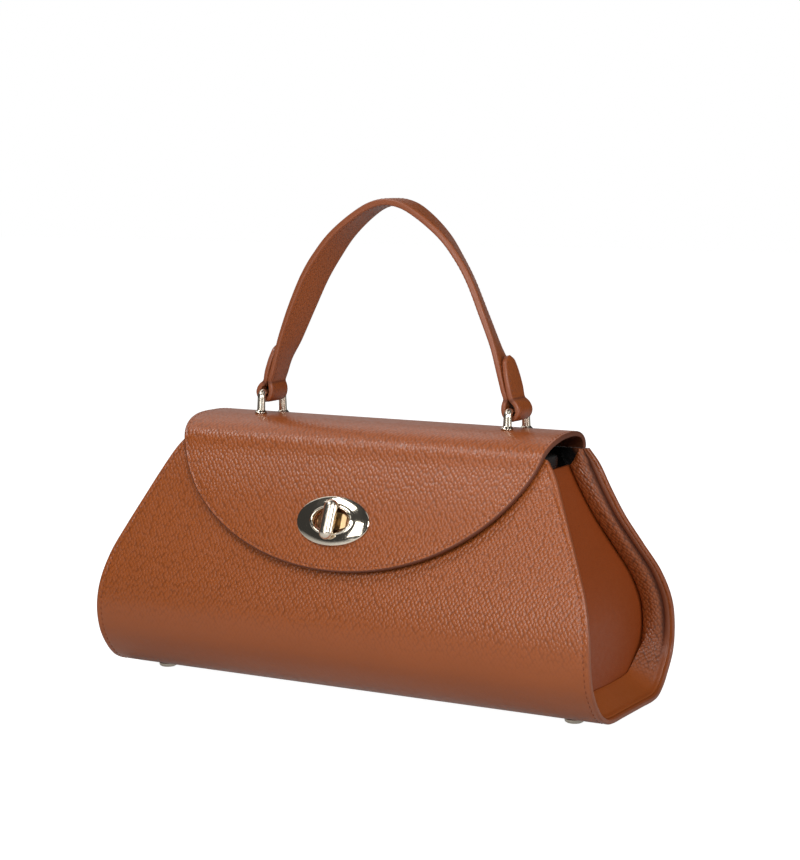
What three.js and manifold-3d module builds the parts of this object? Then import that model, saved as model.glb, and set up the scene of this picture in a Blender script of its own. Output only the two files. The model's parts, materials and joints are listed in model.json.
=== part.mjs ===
// A structured top-handle handbag: a wrapped leather body with recessed ends, a domed flap, a turn lock,
// a strap handle on two wire staples and four studs to stand on.
// Millimetres. X runs along the bag, Y from front to back, Z up from the floor. The origin is on the floor
// under the middle of the bag.
import * as THREE from "three";
import { mergeVertices } from "three/addons/utils/BufferGeometryUtils.js";
import Module from "manifold-3d";

const wasm = await Module();
wasm.setup();

// Clearances and leather thicknesses
const GAP = 0.3;
const WELD = 1e-4;
const BODY_WALL = 2.8;
const GUSSET_WALL = 1.8;
const LINING_WALL = 1.0;
const FLAP_WALL = 2.8;
const STRAP_THICKNESS = 2.8;

// The body by height: how far its outside stands to the front and to the back of the middle, and how wide
// it is
const BODY_SECTIONS = [
  { height: 3.5, front: 13, back: 13, halfWidth: 153.5 },
  { height: 3.5, front: 26, back: 26, halfWidth: 153.5 },
  { height: 4.6, front: 33, back: 33, halfWidth: 153.5 },
  { height: 8.4, front: 40.8, back: 39.6, halfWidth: 153.5 },
  { height: 15.4, front: 47.8, back: 46.3, halfWidth: 153.5 },
  { height: 26, front: 54, back: 53.8, halfWidth: 153.4 },
  { height: 40, front: 56.5, back: 56.3, halfWidth: 153.1 },
  { height: 54, front: 54.8, back: 55.5, halfWidth: 151.7 },
  { height: 70, front: 49.8, back: 50, halfWidth: 147.5 },
  { height: 86, front: 43.4, back: 41.6, halfWidth: 140.3 },
  { height: 102, front: 36.8, back: 34.4, halfWidth: 132.4 },
  { height: 116, front: 31, back: 32, halfWidth: 125.4 },
  { height: 129, front: 25, back: 32, halfWidth: 118.4 },
  { height: 136.5, front: 21.5, back: 32, halfWidth: 112.4 },
];
const BODY_STEPS = 100;

const BODY_TOP = BODY_SECTIONS.at(-1).height;

// The ends: the gusset's depth behind the side edge, and the strip that covers the step. It is padded on
// the upper sides and rises plainly to the gusset along the bottom.
const GUSSET_RECESS = 17;
const GUSSET_TOP = 127;
const GUSSET_STEPS = 26;
const GUSSET_STEP_POWER = 1.6;
const FACING_EDGE = 2.4;
const FACING_TAPER_START = 127;
const FACING_TOP_WIDTH = 4;
const FACING_ROLL_START = 12;
const FACING_ROLL_FULL = 30;
const FACING_SECTION = [
  { across: 0, rise: GAP, bottomRise: GAP },
  { across: 0, rise: 1, bottomRise: 0.8 },
  { across: 0.22, rise: 0.9, bottomRise: 1.8 },
  { across: 0.45, rise: 3.2, bottomRise: 4 },
  { across: 0.72, rise: 3.9, bottomRise: 6.9 },
  { across: 1, rise: 3.2, bottomRise: 9.5 },
  { across: 1, rise: GAP, bottomRise: GAP },
];
const LINING_TOP = 135.5;
const LINING_TAPER_LAG = 5;

// The underside of the flap: how far it lifts off the front, and its arch over the mouth to the seam with
// the back
const FLAP_FRONT = [
  { height: 71.2, lift: 2.6 },
  { height: 84, lift: 2.9 },
  { height: 96, lift: 2.9 },
  { height: 108, lift: 2.4 },
  { height: 119, lift: 1.5 },
  { height: 129, lift: 0.8 },
];
const FLAP_ARCH = [
  { y: -22, height: 137.2 },
  { y: -17.6, height: 140.9 },
  { y: -11.5, height: 143.3 },
  { y: -4, height: 144.6 },
  { y: 4, height: 144.9 },
  { y: 13, height: 144.8 },
  { y: 21, height: 143.7 },
  { y: 26.4, height: 141.5 },
  { y: 28.8, height: 138.8 },
  { y: 29.2, height: 136.8 },
];
const FLAP_X = -0.8;
const FLAP_HALF_WIDTH = 114.5;
const FLAP_BACK_HALF_WIDTH = 111;
const FLAP_ROUND = 88;
const FLAP_STEPS = 44;
const FLAP_FINE_STEPS = 176;
const FLAP_FIRST_STEP = 1.4;
const FLAP_COLUMNS = 8;

// The lock, in its own frame: X across, Y up the front panel, Z out of it
const LOCK_X = -2.7;
const LOCK_HEIGHT = 96;
const LOCK_LIFT = 2.9;
const PLATE_HALF = { x: 22.4, y: 13.5 };
const PLATE_SIDES = 44;
const PLATE_HOLE = { x: 12, y: 7.6 };
const PLATE_SECTION = [
  { outward: 1, rise: GAP },
  { outward: 1, rise: 0.8 },
  { outward: 0.82, rise: 2.1 },
  { outward: 0.5, rise: 2.9 },
  { outward: 0.14, rise: 3.1 },
  { outward: 0, rise: 3.4 },
  { outward: -0.08, rise: 3 },
  { outward: -0.08, rise: GAP },
];
const FLANGE_HALF = { x: 17, y: 10 };
const FLANGE_THICKNESS = 2;
const BOSS_HALF = { x: 10.7, y: 6.4 };
const BOSS_TOP = 1.6;
const TOGGLE_LENGTH = 22;
const TOGGLE_WIDTH = 8;
const TOGGLE_BOTTOM = 3.9;
const TOGGLE_TOP = 8.3;
const TOGGLE_ROUND = 1.6;
const TOGGLE_ROUND_STEPS = 3;
const TOGGLE_END_STEPS = 7;
const TOGGLE_NECK_RADIUS = 3;
const TOGGLE_NECK_SIDES = 24;

// The staples
const STAPLE_X = 78;
const STAPLE_TOP = 157;
const STAPLE_HALF_SPAN = 11;
const STAPLE_WIRE = 2.2;
const STAPLE_BEND = 3;
const STAPLE_FOOT = 141.6;
const STAPLE_SIDES = 10;
const STAPLE_BEND_STEPS = 6;
const COLLAR_RADIUS = 3.3;
const COLLAR_HEIGHT = 1.1;
const COLLAR_SIDES = 20;

// The handle: the middle of the strap on its right half. The tab comes down from its tip, the loop runs
// under the staple's bar, and the limb climbs to the top of the arch, turned by its twist in degrees.
const STRAP_MIDDLE = 12.5;
const STRAP_LEAN = 3;
const STRAP_LEAN_START = 200;
const STRAP_HALF_WIDTH = 8.4;
const STRAP_TOP_HALF_WIDTH = 9.2;
const STRAP_TOP_THICKNESS = 3.6;
const STRAP_GROWTH_START = 172;
const STRAP_GROWTH_END = 218;
const STRAP_CHAMFER = 0.8;
const TAB_ROUTE = [
  { x: 72.1, height: 186, twist: 0, halfWidth: 3 },
  { x: 72.9, height: 183, twist: 0, halfWidth: 5.6 },
  { x: 74.4, height: 177, twist: 0, halfWidth: 7.6 },
  { x: 76.2, height: 170, twist: 0, halfWidth: STRAP_HALF_WIDTH },
  { x: 78, height: 163.2, twist: 0, halfWidth: STRAP_HALF_WIDTH },
  { x: 80.9, height: 160.4, twist: 0, halfWidth: STRAP_HALF_WIDTH },
];
const LOOP_RADIUS = STAPLE_WIRE + 2 * GAP + STRAP_THICKNESS / 2;
const LOOP_STEPS = 4;
const LIMB_ROUTE = [
  { x: 74, height: 160.4, twist: 0 },
  { x: 74.7, height: 163.2, twist: 0 },
  { x: 73.2, height: 168.5, twist: 0 },
  { x: 70.4, height: 177.5, twist: 3 },
  { x: 65.4, height: 190, twist: 16 },
  { x: 57.6, height: 208, twist: 21 },
  { x: 49, height: 226, twist: 23 },
  { x: 41.8, height: 237.2, twist: 22 },
  { x: 32.4, height: 248.9, twist: 16 },
  { x: 19.2, height: 260, twist: 7 },
  { x: 9.6, height: 265.5, twist: 2 },
  { x: 0, height: 267.4, twist: 0 },
];
const HANDLE_STEPS = 132;

// The studs under the bottom
const FOOT_X = 129;
const FOOT_Y = 21;
const FOOT_RADIUS = 5.2;
const FOOT_HEIGHT = 3.2;
const FOOT_SIDES = 20;
const FOOT_SECTION = [
  { outward: 0, up: 0 },
  { outward: 0.72, up: 0 },
  { outward: 0.9, up: 0.1 },
  { outward: 1, up: 0.32 },
  { outward: 1, up: 1 },
  { outward: 0, up: 1 },
];

// Turning the triangles of a closed body so that they face out, told by the sign of its volume
function facingOut(positions, triangles) {
  const corner = (index) => new THREE.Vector3().fromArray(positions, 3 * index);
  let volume = 0;
  for (let i = 0; i < triangles.length; i += 3) {
    const [a, b, c] = [0, 1, 2].map((k) => corner(triangles[i + k]));
    volume += a.dot(b.cross(c));
  }
  if (volume > 0) return triangles;
  return triangles.map((_, i) => triangles[i - (i % 3) + (2 - (i % 3))]);
}

function closedBody(points, triangles) {
  const positions = points.flatMap((point) => [point.x, point.y, point.z]);
  const geometry = new THREE.BufferGeometry();
  geometry.setAttribute("position", new THREE.Float32BufferAttribute(positions, 3));
  geometry.setIndex(facingOut(positions, triangles));
  return geometry;
}

// A closed section carried through a row of places. Each ring is the section at one place, with its second
// half running back along the first, so that a strip between the two halves closes each end.
function carried(rings, joinEnds = false) {
  const size = rings[0].length;
  const triangles = [];
  const spans = joinEnds ? rings.length : rings.length - 1;
  for (let i = 0; i < spans; i++) {
    const here = i * size;
    const next = ((i + 1) % rings.length) * size;
    for (let k = 0; k < size; k++) {
      const m = (k + 1) % size;
      triangles.push(here + k, next + k, next + m, here + k, next + m, here + m);
    }
  }
  if (!joinEnds) {
    const last = (rings.length - 1) * size;
    const cap = (a, b, c) => triangles.push(a, b, c, last + c, last + b, last + a);
    for (let low = 0, high = size - 1; high - low > 1; low++, high--) {
      cap(low, low + 1, high);
      if (high - low > 2) cap(low + 1, high - 1, high);
    }
  }
  return closedBody(rings.flat(), triangles);
}

function solid(geometry) {
  const bare = geometry.clone();
  bare.deleteAttribute("normal");
  bare.deleteAttribute("uv");
  const merged = mergeVertices(bare, WELD);
  const vertProperties = new Float32Array(merged.attributes.position.array);
  const triVerts = new Uint32Array(merged.index.array);
  return new wasm.Manifold(new wasm.Mesh({ numProp: 3, vertProperties, triVerts }));
}

function fromSolid(body) {
  const mesh = body.getMesh();
  const geometry = new THREE.BufferGeometry();
  geometry.setAttribute("position", new THREE.BufferAttribute(new Float32Array(mesh.vertProperties), 3));
  geometry.setIndex(Array.from(mesh.triVerts));
  return geometry;
}

// An upright oval block in its own frame, between two heights on Z
function ovalBlock(half, bottom, top, sides) {
  const geometry = new THREE.CylinderGeometry(1, 1, top - bottom, sides);
  geometry.rotateX(Math.PI / 2);
  geometry.scale(half.x, half.y, 1);
  geometry.translate(0, 0, (bottom + top) / 2);
  return geometry;
}

// One column of a table, read where another column that rises from row to row has the given value
function between(rows, key, value, wanted) {
  const above = rows.findIndex((row, i) => i > 0 && row[key] >= value && row[key] > rows[i - 1][key]);
  const index = above < 0 ? rows.length - 1 : above;
  const [low, high] = [rows[index - 1], rows[index]];
  const share = Math.max((value - low[key]) / (high[key] - low[key]), 0);
  return THREE.MathUtils.lerp(low[wanted], high[wanted], share);
}

// Places along the outside of the body, from the front top edge, under the bottom, to the back top seam
function bodyPlaces() {
  const downFront = BODY_SECTIONS.toReversed();
  const points = [
    ...downFront.map((row) => new THREE.Vector3(row.halfWidth, -row.front, row.height)),
    ...BODY_SECTIONS.map((row) => new THREE.Vector3(row.halfWidth, row.back, row.height)),
  ];
  const line = new THREE.CatmullRomCurve3(points, false, "centripetal").getSpacedPoints(BODY_STEPS);
  return line.map((point, i) => {
    const before = line[Math.max(i - 1, 0)];
    const after = line[Math.min(i + 1, line.length - 1)];
    const run = new THREE.Vector2(after.y - before.y, after.z - before.z).normalize();
    return { halfWidth: point.x, y: point.y, height: point.z, outY: run.y, outZ: -run.x };
  });
}

const BODY = bodyPlaces();
const BACK_SIDE = BODY.filter((place) => place.y > 0);
const FRONT_SIDE = BODY.filter((place) => place.y < 0).reverse();
const halfWidthAt = (height) => between(BACK_SIDE, "height", height, "halfWidth");

// A point at a depth inside the outside face of the body; a depth below zero lies outside it
function inside(place, x, depth) {
  return new THREE.Vector3(x, place.y - place.outY * depth, place.height - place.outZ * depth);
}

function placeAt(places, height) {
  const read = (wanted) => between(places, "height", height, wanted);
  return { y: read("y"), height, outY: read("outY"), outZ: read("outZ") };
}

function sheetOnBody(places, halfWidth, outer, inner) {
  return carried(places.map((place) => {
    const half = halfWidth(place);
    return [
      inside(place, -half, outer),
      inside(place, half, outer),
      inside(place, half, inner),
      inside(place, -half, inner),
    ];
  }));
}

function bodyShell() {
  return sheetOnBody(BODY, (place) => place.halfWidth, 0, BODY_WALL);
}

// The padded strip narrows from its full width at the gusset's top to its end at the mouth
function facingWidth(height) {
  const share = (height - FACING_TAPER_START) / (BODY_TOP - FACING_TAPER_START);
  return THREE.MathUtils.lerp(GUSSET_RECESS, FACING_TOP_WIDTH, THREE.MathUtils.clamp(share, 0, 1));
}

function sideFacing(side) {
  const places = BODY.filter((_, i) => i % 2 === 0);
  return carried(places.map((place) => FACING_SECTION.map(({ across, rise, bottomRise }) => {
    const padded = THREE.MathUtils.smoothstep(place.height, FACING_ROLL_START, FACING_ROLL_FULL);
    const point = inside(place, 0, BODY_WALL + THREE.MathUtils.lerp(bottomRise, rise, padded));
    const inFromEdge = THREE.MathUtils.lerp(FACING_EDGE, facingWidth(place.height), across);
    point.x = side * (halfWidthAt(point.z) - inFromEdge);
    return point;
  })));
}

// The lining ends beside the gusset and, above it, beside the padded strip
function lining() {
  const places = BODY.filter((place) => place.height < LINING_TOP);
  const outer = BODY_WALL + GAP;
  const inner = outer + LINING_WALL;
  const half = (place) => {
    const narrow = Math.min(place.halfWidth, halfWidthAt(inside(place, 0, inner).z));
    return narrow - facingWidth(place.height - LINING_TAPER_LAG) - GUSSET_WALL - 2 * GAP;
  };
  return sheetOnBody(places, half, outer, inner);
}

// The end panel is bounded by the inside of the body at each height
function gusset(side) {
  const innerLine = (places) => places.map((place) => {
    const point = inside(place, 0, BODY_WALL + GAP);
    return { y: point.y, height: point.z };
  });
  const front = innerLine(FRONT_SIDE);
  const back = innerLine(BACK_SIDE);
  const bottom = BODY_SECTIONS[0].height + BODY_WALL + 2 * GAP;
  const rings = [];
  for (let i = 0; i <= GUSSET_STEPS; i++) {
    const height = bottom + (GUSSET_TOP - bottom) * Math.pow(i / GUSSET_STEPS, GUSSET_STEP_POWER);
    const outer = side * (halfWidthAt(height) - GUSSET_RECESS - GAP);
    const inner = outer - side * GUSSET_WALL;
    const frontY = between(front, "height", height, "y");
    const backY = between(back, "height", height, "y");
    rings.push([
      new THREE.Vector3(outer, frontY, height),
      new THREE.Vector3(outer, backY, height),
      new THREE.Vector3(inner, backY, height),
      new THREE.Vector3(inner, frontY, height),
    ]);
  }
  return carried(rings);
}

// The underside of the flap, from its tip on the front, over the mouth, to the seam on the back
function flapLine() {
  return new THREE.CatmullRomCurve3([
    ...FLAP_FRONT.map(({ height, lift }) => inside(placeAt(FRONT_SIDE, height), 0, -lift)),
    ...FLAP_ARCH.map((row) => new THREE.Vector3(0, row.y, row.height)),
  ], false, "centripetal");
}

// Half the flap's width at a length from its tip: half an oval, widest on the top, then straight sides
function flapHalfWidth(fromTip, length) {
  const frontShare = THREE.MathUtils.clamp(1 - fromTip / FLAP_ROUND, 0, 1);
  const behind = THREE.MathUtils.clamp((fromTip - FLAP_ROUND) / (length - FLAP_ROUND), 0, 1);
  const half = THREE.MathUtils.lerp(FLAP_HALF_WIDTH, FLAP_BACK_HALF_WIDTH, behind);
  return half * Math.sqrt(1 - frontShare * frontShare);
}

function flapTopAt(y) {
  const line = flapLine().getSpacedPoints(FLAP_FINE_STEPS);
  const over = line.filter((point) => Math.abs(point.y - y) < COLLAR_RADIUS && point.z > LINING_TOP);
  return Math.max(...over.map((point) => point.z)) + FLAP_WALL;
}

function flapSheet() {
  const curve = flapLine();
  const length = curve.getLength();
  const rings = [];
  for (let i = 0; i <= FLAP_STEPS; i++) {
    const half = FLAP_STEPS / 2;
    const turn = Math.max(i, FLAP_FIRST_STEP) / half * Math.PI / 2;
    const onFront = FLAP_ROUND * (1 - Math.cos(turn));
    const behind = FLAP_ROUND + (length - FLAP_ROUND) * (i - half) / half;
    const fromTip = i < half ? onFront : behind;
    const share = Math.min(fromTip / length, 1);
    const point = curve.getPointAt(share);
    const run = curve.getTangentAt(share);
    const out = new THREE.Vector3(0, -run.z, run.y);
    const reach = flapHalfWidth(fromTip, length);
    const row = (lift) => Array.from({ length: FLAP_COLUMNS + 1 }, (_, k) => {
      const place = point.clone().addScaledVector(out, lift);
      place.x = FLAP_X + reach * (2 * k / FLAP_COLUMNS - 1);
      return place;
    });
    rings.push([...row(FLAP_WALL), ...row(0).reverse()]);
  }
  return carried(rings);
}

// The frame of the lock stands on the outer face of the flap, square to the front panel
function lockFrame() {
  const place = placeAt(FRONT_SIDE, LOCK_HEIGHT);
  const frame = new THREE.Group();
  frame.position.copy(inside(place, LOCK_X, -LOCK_LIFT - FLAP_WALL));
  frame.rotation.x = Math.atan2(-place.outY, place.outZ);
  frame.updateMatrixWorld();
  return frame;
}

function flap(frame) {
  const lockHole = ovalBlock(PLATE_HOLE, -2 * FLAP_WALL, 2 * FLAP_WALL, PLATE_SIDES);
  lockHole.applyMatrix4(frame.matrixWorld);
  let body = solid(flapSheet()).subtract(solid(lockHole));
  const legHole = STAPLE_WIRE + GAP;
  for (const side of [-1, 1]) {
    for (const end of [-1, 1]) {
      const hole = ovalBlock({ x: legHole, y: legHole }, LINING_TOP, STAPLE_TOP, STAPLE_SIDES);
      hole.translate(side * STAPLE_X, STRAP_MIDDLE + end * STAPLE_HALF_SPAN, 0);
      body = body.subtract(solid(hole));
    }
  }
  return fromSolid(body);
}

function lockPlate() {
  const rings = Array.from({ length: PLATE_SIDES }, (_, i) => {
    const angle = 2 * Math.PI * i / PLATE_SIDES;
    return PLATE_SECTION.map(({ outward, rise }) => new THREE.Vector3(
      Math.cos(angle) * THREE.MathUtils.lerp(PLATE_HOLE.x, PLATE_HALF.x, outward),
      Math.sin(angle) * THREE.MathUtils.lerp(PLATE_HOLE.y, PLATE_HALF.y, outward),
      rise,
    ));
  });
  return carried(rings, true);
}

// The boss stands on a flange that lies between the front panel and the flap
function lockBase() {
  const bottom = GAP - LOCK_LIFT - FLAP_WALL;
  const flange = ovalBlock(FLANGE_HALF, bottom, bottom + FLANGE_THICKNESS, PLATE_SIDES);
  const boss = ovalBlock(BOSS_HALF, bottom, BOSS_TOP, PLATE_SIDES);
  return fromSolid(solid(flange).add(solid(boss)));
}

// A bar with round ends and softened edges on a round neck
function lockToggle() {
  const radius = TOGGLE_WIDTH / 2 - TOGGLE_ROUND;
  const straight = TOGGLE_LENGTH / 2 - TOGGLE_WIDTH / 2;
  const outline = new THREE.Shape();
  outline.absarc(0, straight, radius, 0, Math.PI);
  outline.absarc(0, -straight, radius, Math.PI, 2 * Math.PI);
  outline.closePath();
  const bar = new THREE.ExtrudeGeometry(outline, {
    depth: TOGGLE_TOP - TOGGLE_BOTTOM - 2 * TOGGLE_ROUND,
    bevelThickness: TOGGLE_ROUND,
    bevelSize: TOGGLE_ROUND,
    bevelSegments: TOGGLE_ROUND_STEPS,
    curveSegments: TOGGLE_END_STEPS,
  });
  bar.translate(0, 0, TOGGLE_BOTTOM + TOGGLE_ROUND);
  const neckRadius = { x: TOGGLE_NECK_RADIUS, y: TOGGLE_NECK_RADIUS };
  const neck = ovalBlock(neckRadius, BOSS_TOP + GAP, TOGGLE_BOTTOM + TOGGLE_ROUND, TOGGLE_NECK_SIDES);
  return fromSolid(solid(bar).add(solid(neck)));
}

// The whole route of the strap, from the right tab's tip to the left one's. It is wider and thicker up in
// the arch.
function handleRoute() {
  const loop = Array.from({ length: LOOP_STEPS + 1 }, (_, i) => ({
    x: STAPLE_X + Math.cos(Math.PI * i / LOOP_STEPS) * LOOP_RADIUS,
    height: STAPLE_TOP - Math.sin(Math.PI * i / LOOP_STEPS) * LOOP_RADIUS,
    twist: 0,
  }));
  const tab = TAB_ROUTE.map((row) => ({ ...row, thickness: STRAP_THICKNESS }));
  const rest = [...loop, ...LIMB_ROUTE].map((row) => {
    const growth = THREE.MathUtils.smoothstep(row.height, STRAP_GROWTH_START, STRAP_GROWTH_END);
    return {
      ...row,
      halfWidth: THREE.MathUtils.lerp(STRAP_HALF_WIDTH, STRAP_TOP_HALF_WIDTH, growth),
      thickness: THREE.MathUtils.lerp(STRAP_THICKNESS, STRAP_TOP_THICKNESS, growth),
    };
  });
  const right = [...tab, ...rest];
  const left = right.slice(0, -1).reverse().map((row) => ({ ...row, x: -row.x, twist: -row.twist }));
  return [...right, ...left];
}

// The arch leans a little to the back
function strapMiddleAt({ height }) {
  const top = LIMB_ROUTE.at(-1).height;
  return STRAP_MIDDLE + STRAP_LEAN * THREE.MathUtils.smoothstep(height, STRAP_LEAN_START, top);
}

// The strap: a flat band with softened corners, turned about Z by its twist on the way up
function handleStrap() {
  const rows = handleRoute();
  const middle = new THREE.CatmullRomCurve3(
    rows.map((row) => new THREE.Vector3(row.x, strapMiddleAt(row), row.height)), false, "centripetal");
  const build = new THREE.CatmullRomCurve3(
    rows.map((row) => new THREE.Vector3(row.twist, row.halfWidth, row.thickness)), false, "catmullrom");
  const corner = STRAP_CHAMFER;
  const rings = Array.from({ length: HANDLE_STEPS + 1 }, (_, i) => {
    const share = i / HANDLE_STEPS;
    const point = middle.getPoint(share);
    const run = middle.getTangent(share);
    const { x: twist, y: halfWidth, z: thickness } = build.getPoint(share);
    const angle = THREE.MathUtils.degToRad(twist);
    const across = new THREE.Vector3(-Math.sin(angle), Math.cos(angle), 0);
    across.addScaledVector(run, -across.dot(run)).normalize();
    const out = new THREE.Vector3().crossVectors(run, across);
    const half = thickness / 2;
    return [
      [-halfWidth, half - corner], [corner - halfWidth, half],
      [halfWidth - corner, half], [halfWidth, half - corner],
      [halfWidth, corner - half], [halfWidth - corner, -half],
      [corner - halfWidth, -half], [-halfWidth, corner - half],
    ].map(([a, b]) => point.clone().addScaledVector(across, a).addScaledVector(out, b));
  });
  return carried(rings);
}

// A wire arch with a collar on each leg, soldered into one body
function handleStaple(side) {
  const x = side * STAPLE_X;
  const span = STAPLE_HALF_SPAN;
  const line = [{ y: -span, z: STAPLE_FOOT, angle: 0 }];
  for (const end of [-1, 1]) {
    for (let i = 0; i <= STAPLE_BEND_STEPS; i++) {
      const angle = (end < 0 ? 0 : Math.PI / 2) + (Math.PI / 2) * (i / STAPLE_BEND_STEPS);
      line.push({
        y: end * (span - STAPLE_BEND) - Math.cos(angle) * STAPLE_BEND,
        z: STAPLE_TOP - STAPLE_BEND + Math.sin(angle) * STAPLE_BEND,
        angle,
      });
    }
  }
  line.push({ y: span, z: STAPLE_FOOT, angle: Math.PI });
  const rings = line.map(({ y, z, angle }) => Array.from({ length: STAPLE_SIDES }, (_, k) => {
    const turn = 2 * Math.PI * (k + 0.5) / STAPLE_SIDES;
    const aside = Math.sin(turn) * STAPLE_WIRE;
    const outward = Math.cos(turn) * STAPLE_WIRE;
    return new THREE.Vector3(
      x + aside,
      STRAP_MIDDLE + y - Math.cos(angle) * outward,
      z + Math.sin(angle) * outward,
    );
  }));
  let body = solid(carried(rings));
  for (const end of [-1, 1]) {
    const y = STRAP_MIDDLE + end * span;
    const bottom = flapTopAt(y) + GAP;
    const round = { x: COLLAR_RADIUS, y: COLLAR_RADIUS };
    const collar = ovalBlock(round, bottom, bottom + COLLAR_HEIGHT, COLLAR_SIDES);
    collar.translate(x, y, 0);
    body = body.add(solid(collar));
  }
  return fromSolid(body);
}

function foot() {
  const outline = FOOT_SECTION.map((row) => (
    new THREE.Vector2(row.outward * FOOT_RADIUS, row.up * FOOT_HEIGHT)
  ));
  return new THREE.LatheGeometry(outline, FOOT_SIDES).rotateX(Math.PI / 2);
}

const pebbled = { color: 0xa05a32, roughness: 0.55, metalness: 0 };
const smooth = { color: 0x8c4a28, roughness: 0.5, metalness: 0 };
const black = { color: 0x0d0c0c, roughness: 0.35, metalness: 0 };
const gold = { color: 0xd8c3a0, roughness: 0.16, metalness: 1 };

const handbag = new THREE.Group();

function place(parent, name, geometry, finish) {
  const mesh = new THREE.Mesh(geometry, new THREE.MeshStandardMaterial(finish));
  mesh.name = name;
  parent.add(mesh);
  return mesh;
}

const lock = lockFrame();
handbag.add(lock);
place(handbag, "body_shell", bodyShell(), pebbled);
place(handbag, "lining", lining(), black);
place(handbag, "flap", flap(lock), pebbled);
place(lock, "lock_plate", lockPlate(), gold);
place(lock, "lock_base", lockBase(), gold);
place(lock, "lock_toggle", lockToggle(), gold);
place(handbag, "handle_strap", handleStrap(), pebbled);
for (const [label, side] of [["left", -1], ["right", 1]]) {
  place(handbag, `gusset_${label}`, gusset(side), smooth);
  place(handbag, `side_facing_${label}`, sideFacing(side), pebbled);
  place(handbag, `handle_staple_${label}`, handleStaple(side), gold);
  for (const [row, end] of [["front", -1], ["back", 1]]) {
    const stud = place(handbag, `foot_${row}_${label}`, foot(), gold);
    stud.position.set(side * FOOT_X, end * FOOT_Y, 0);
  }
}

export default handbag;
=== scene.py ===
"""A structured top-handle handbag: leather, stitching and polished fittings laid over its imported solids.

Sizes in the tables are millimetres in the bag's own frame: X along the bag, Y from front to back, Z up.
"""
import json
import math
from collections import namedtuple

import bmesh
import bpy
import numpy as np
from bpy.props import FloatProperty, FloatVectorProperty, PointerProperty
from mathutils import Matrix


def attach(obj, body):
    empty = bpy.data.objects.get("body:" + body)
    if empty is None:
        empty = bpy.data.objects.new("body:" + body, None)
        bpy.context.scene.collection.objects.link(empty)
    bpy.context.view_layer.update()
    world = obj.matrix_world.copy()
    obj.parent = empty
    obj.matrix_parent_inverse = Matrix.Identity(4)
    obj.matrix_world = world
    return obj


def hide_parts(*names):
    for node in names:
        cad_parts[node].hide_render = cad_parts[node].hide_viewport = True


bl_info = {
    "name": "Top-handle handbag",
    "version": (1, 0, 0),
    "blender": (4, 5, 0),
    "location": "View3D > Sidebar > Handbag",
    "description": "Dresses the solids of a handbag with leather, stitching and polished fittings",
    "category": "Object",
}

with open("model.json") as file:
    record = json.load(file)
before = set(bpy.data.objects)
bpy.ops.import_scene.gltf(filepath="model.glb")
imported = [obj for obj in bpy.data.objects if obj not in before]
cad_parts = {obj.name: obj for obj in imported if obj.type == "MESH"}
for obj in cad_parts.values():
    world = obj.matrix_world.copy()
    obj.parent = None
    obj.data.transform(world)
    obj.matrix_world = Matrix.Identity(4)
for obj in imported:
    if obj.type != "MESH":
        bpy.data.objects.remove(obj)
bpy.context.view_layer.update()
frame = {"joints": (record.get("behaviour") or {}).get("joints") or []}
MM = 0.001

# Leather thicknesses, and the small clearance between neighbouring pieces
CLEAR = 0.3
BODY_WALL = 2.8
FLAP_WALL = 2.8
STRAP_WALL = 2.8
GUSSET_WALL = 1.8
LINING_WALL = 1.0

# What all the meshes share
CORNER_STEPS = 5
MERGE_DISTANCE = 0.002
SHARP_ANGLE = math.radians(50)
TINY = 1e-9
SIDES = (("left", -1), ("right", 1))
ENDS = (("front", -1), ("back", 1))

# How a grid of points closes: as a tube, a turned form, a ring or an open sheet with filled ends
TUBE = {"close_columns": True, "caps": True}
TURNED = {"close_rows": True}
RING = {"close_rows": True, "close_columns": True}
CAPPED = {"caps": True}

# What a leather surface's masks are where it says nothing else
LEATHER_MASKS = {"edge": 0.0, "inner": 0.0, "grain": 1.0, "seam": 0.0}

# What the functions hand on
Places = namedtuple("Places", "half y z out_y out_z along")
Band = namedtuple("Band", "share reach depth edge inner")
FlapLine = namedtuple("FlapLine", "along y z out_y out_z")
StrapPath = namedtuple("StrapPath", "point across out half wall along")
LeatherFinish = namedtuple("LeatherFinish", "width length depth roughness specular")

# The body by height. Columns: height, reach to the front, reach to the back, half width
BODY_SECTIONS = np.array([
    (3.5, 13.0, 13.0, 153.5),
    (3.5, 26.0, 26.0, 153.5),
    (4.6, 33.0, 33.0, 153.5),
    (8.4, 40.8, 39.6, 153.5),
    (15.4, 47.8, 46.3, 153.5),
    (26.0, 54.0, 53.8, 153.4),
    (40.0, 56.5, 56.3, 153.1),
    (54.0, 54.8, 55.5, 151.7),
    (70.0, 49.8, 50.0, 147.5),
    (86.0, 43.4, 41.6, 140.3),
    (102.0, 36.8, 34.4, 132.4),
    (116.0, 31.0, 32.0, 125.4),
    (129.0, 25.0, 32.0, 118.4),
    (136.5, 21.5, 32.0, 112.4),
])
BODY_TOP = BODY_SECTIONS[-1, 0]
BODY_ROWS = 300
# Faces across the outside: in the middle, near each edge, and the share of the half width that is near
BODY_COLUMNS = (70, 14, 0.07)
BODY_INNER_COLUMNS = 24
TAN_MARGIN = (6.0, 9.0)
SEAM_GROOVE_DEPTH = 0.22
SEAM_GROOVE_WIDTH = 0.9
GRAIN_FADE_LOW = 28.0
GRAIN_FADE_HIGH = 54.0
GRAIN_FADED = 0.1

# The padded strip inside each side edge. Columns: distance in from the edge, rise off the body's inside
FACING_SECTION = np.array([
    (2.0, 0.2),
    (2.3, 0.8),
    (4.2, 1.1),
    (5.2, 0.5),
    (6.2, 1.3),
    (8.8, 3.3),
    (12.6, 4.0),
    (15.8, 3.7),
    (16.8, 2.7),
    (17.0, 0.2),
])
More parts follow.
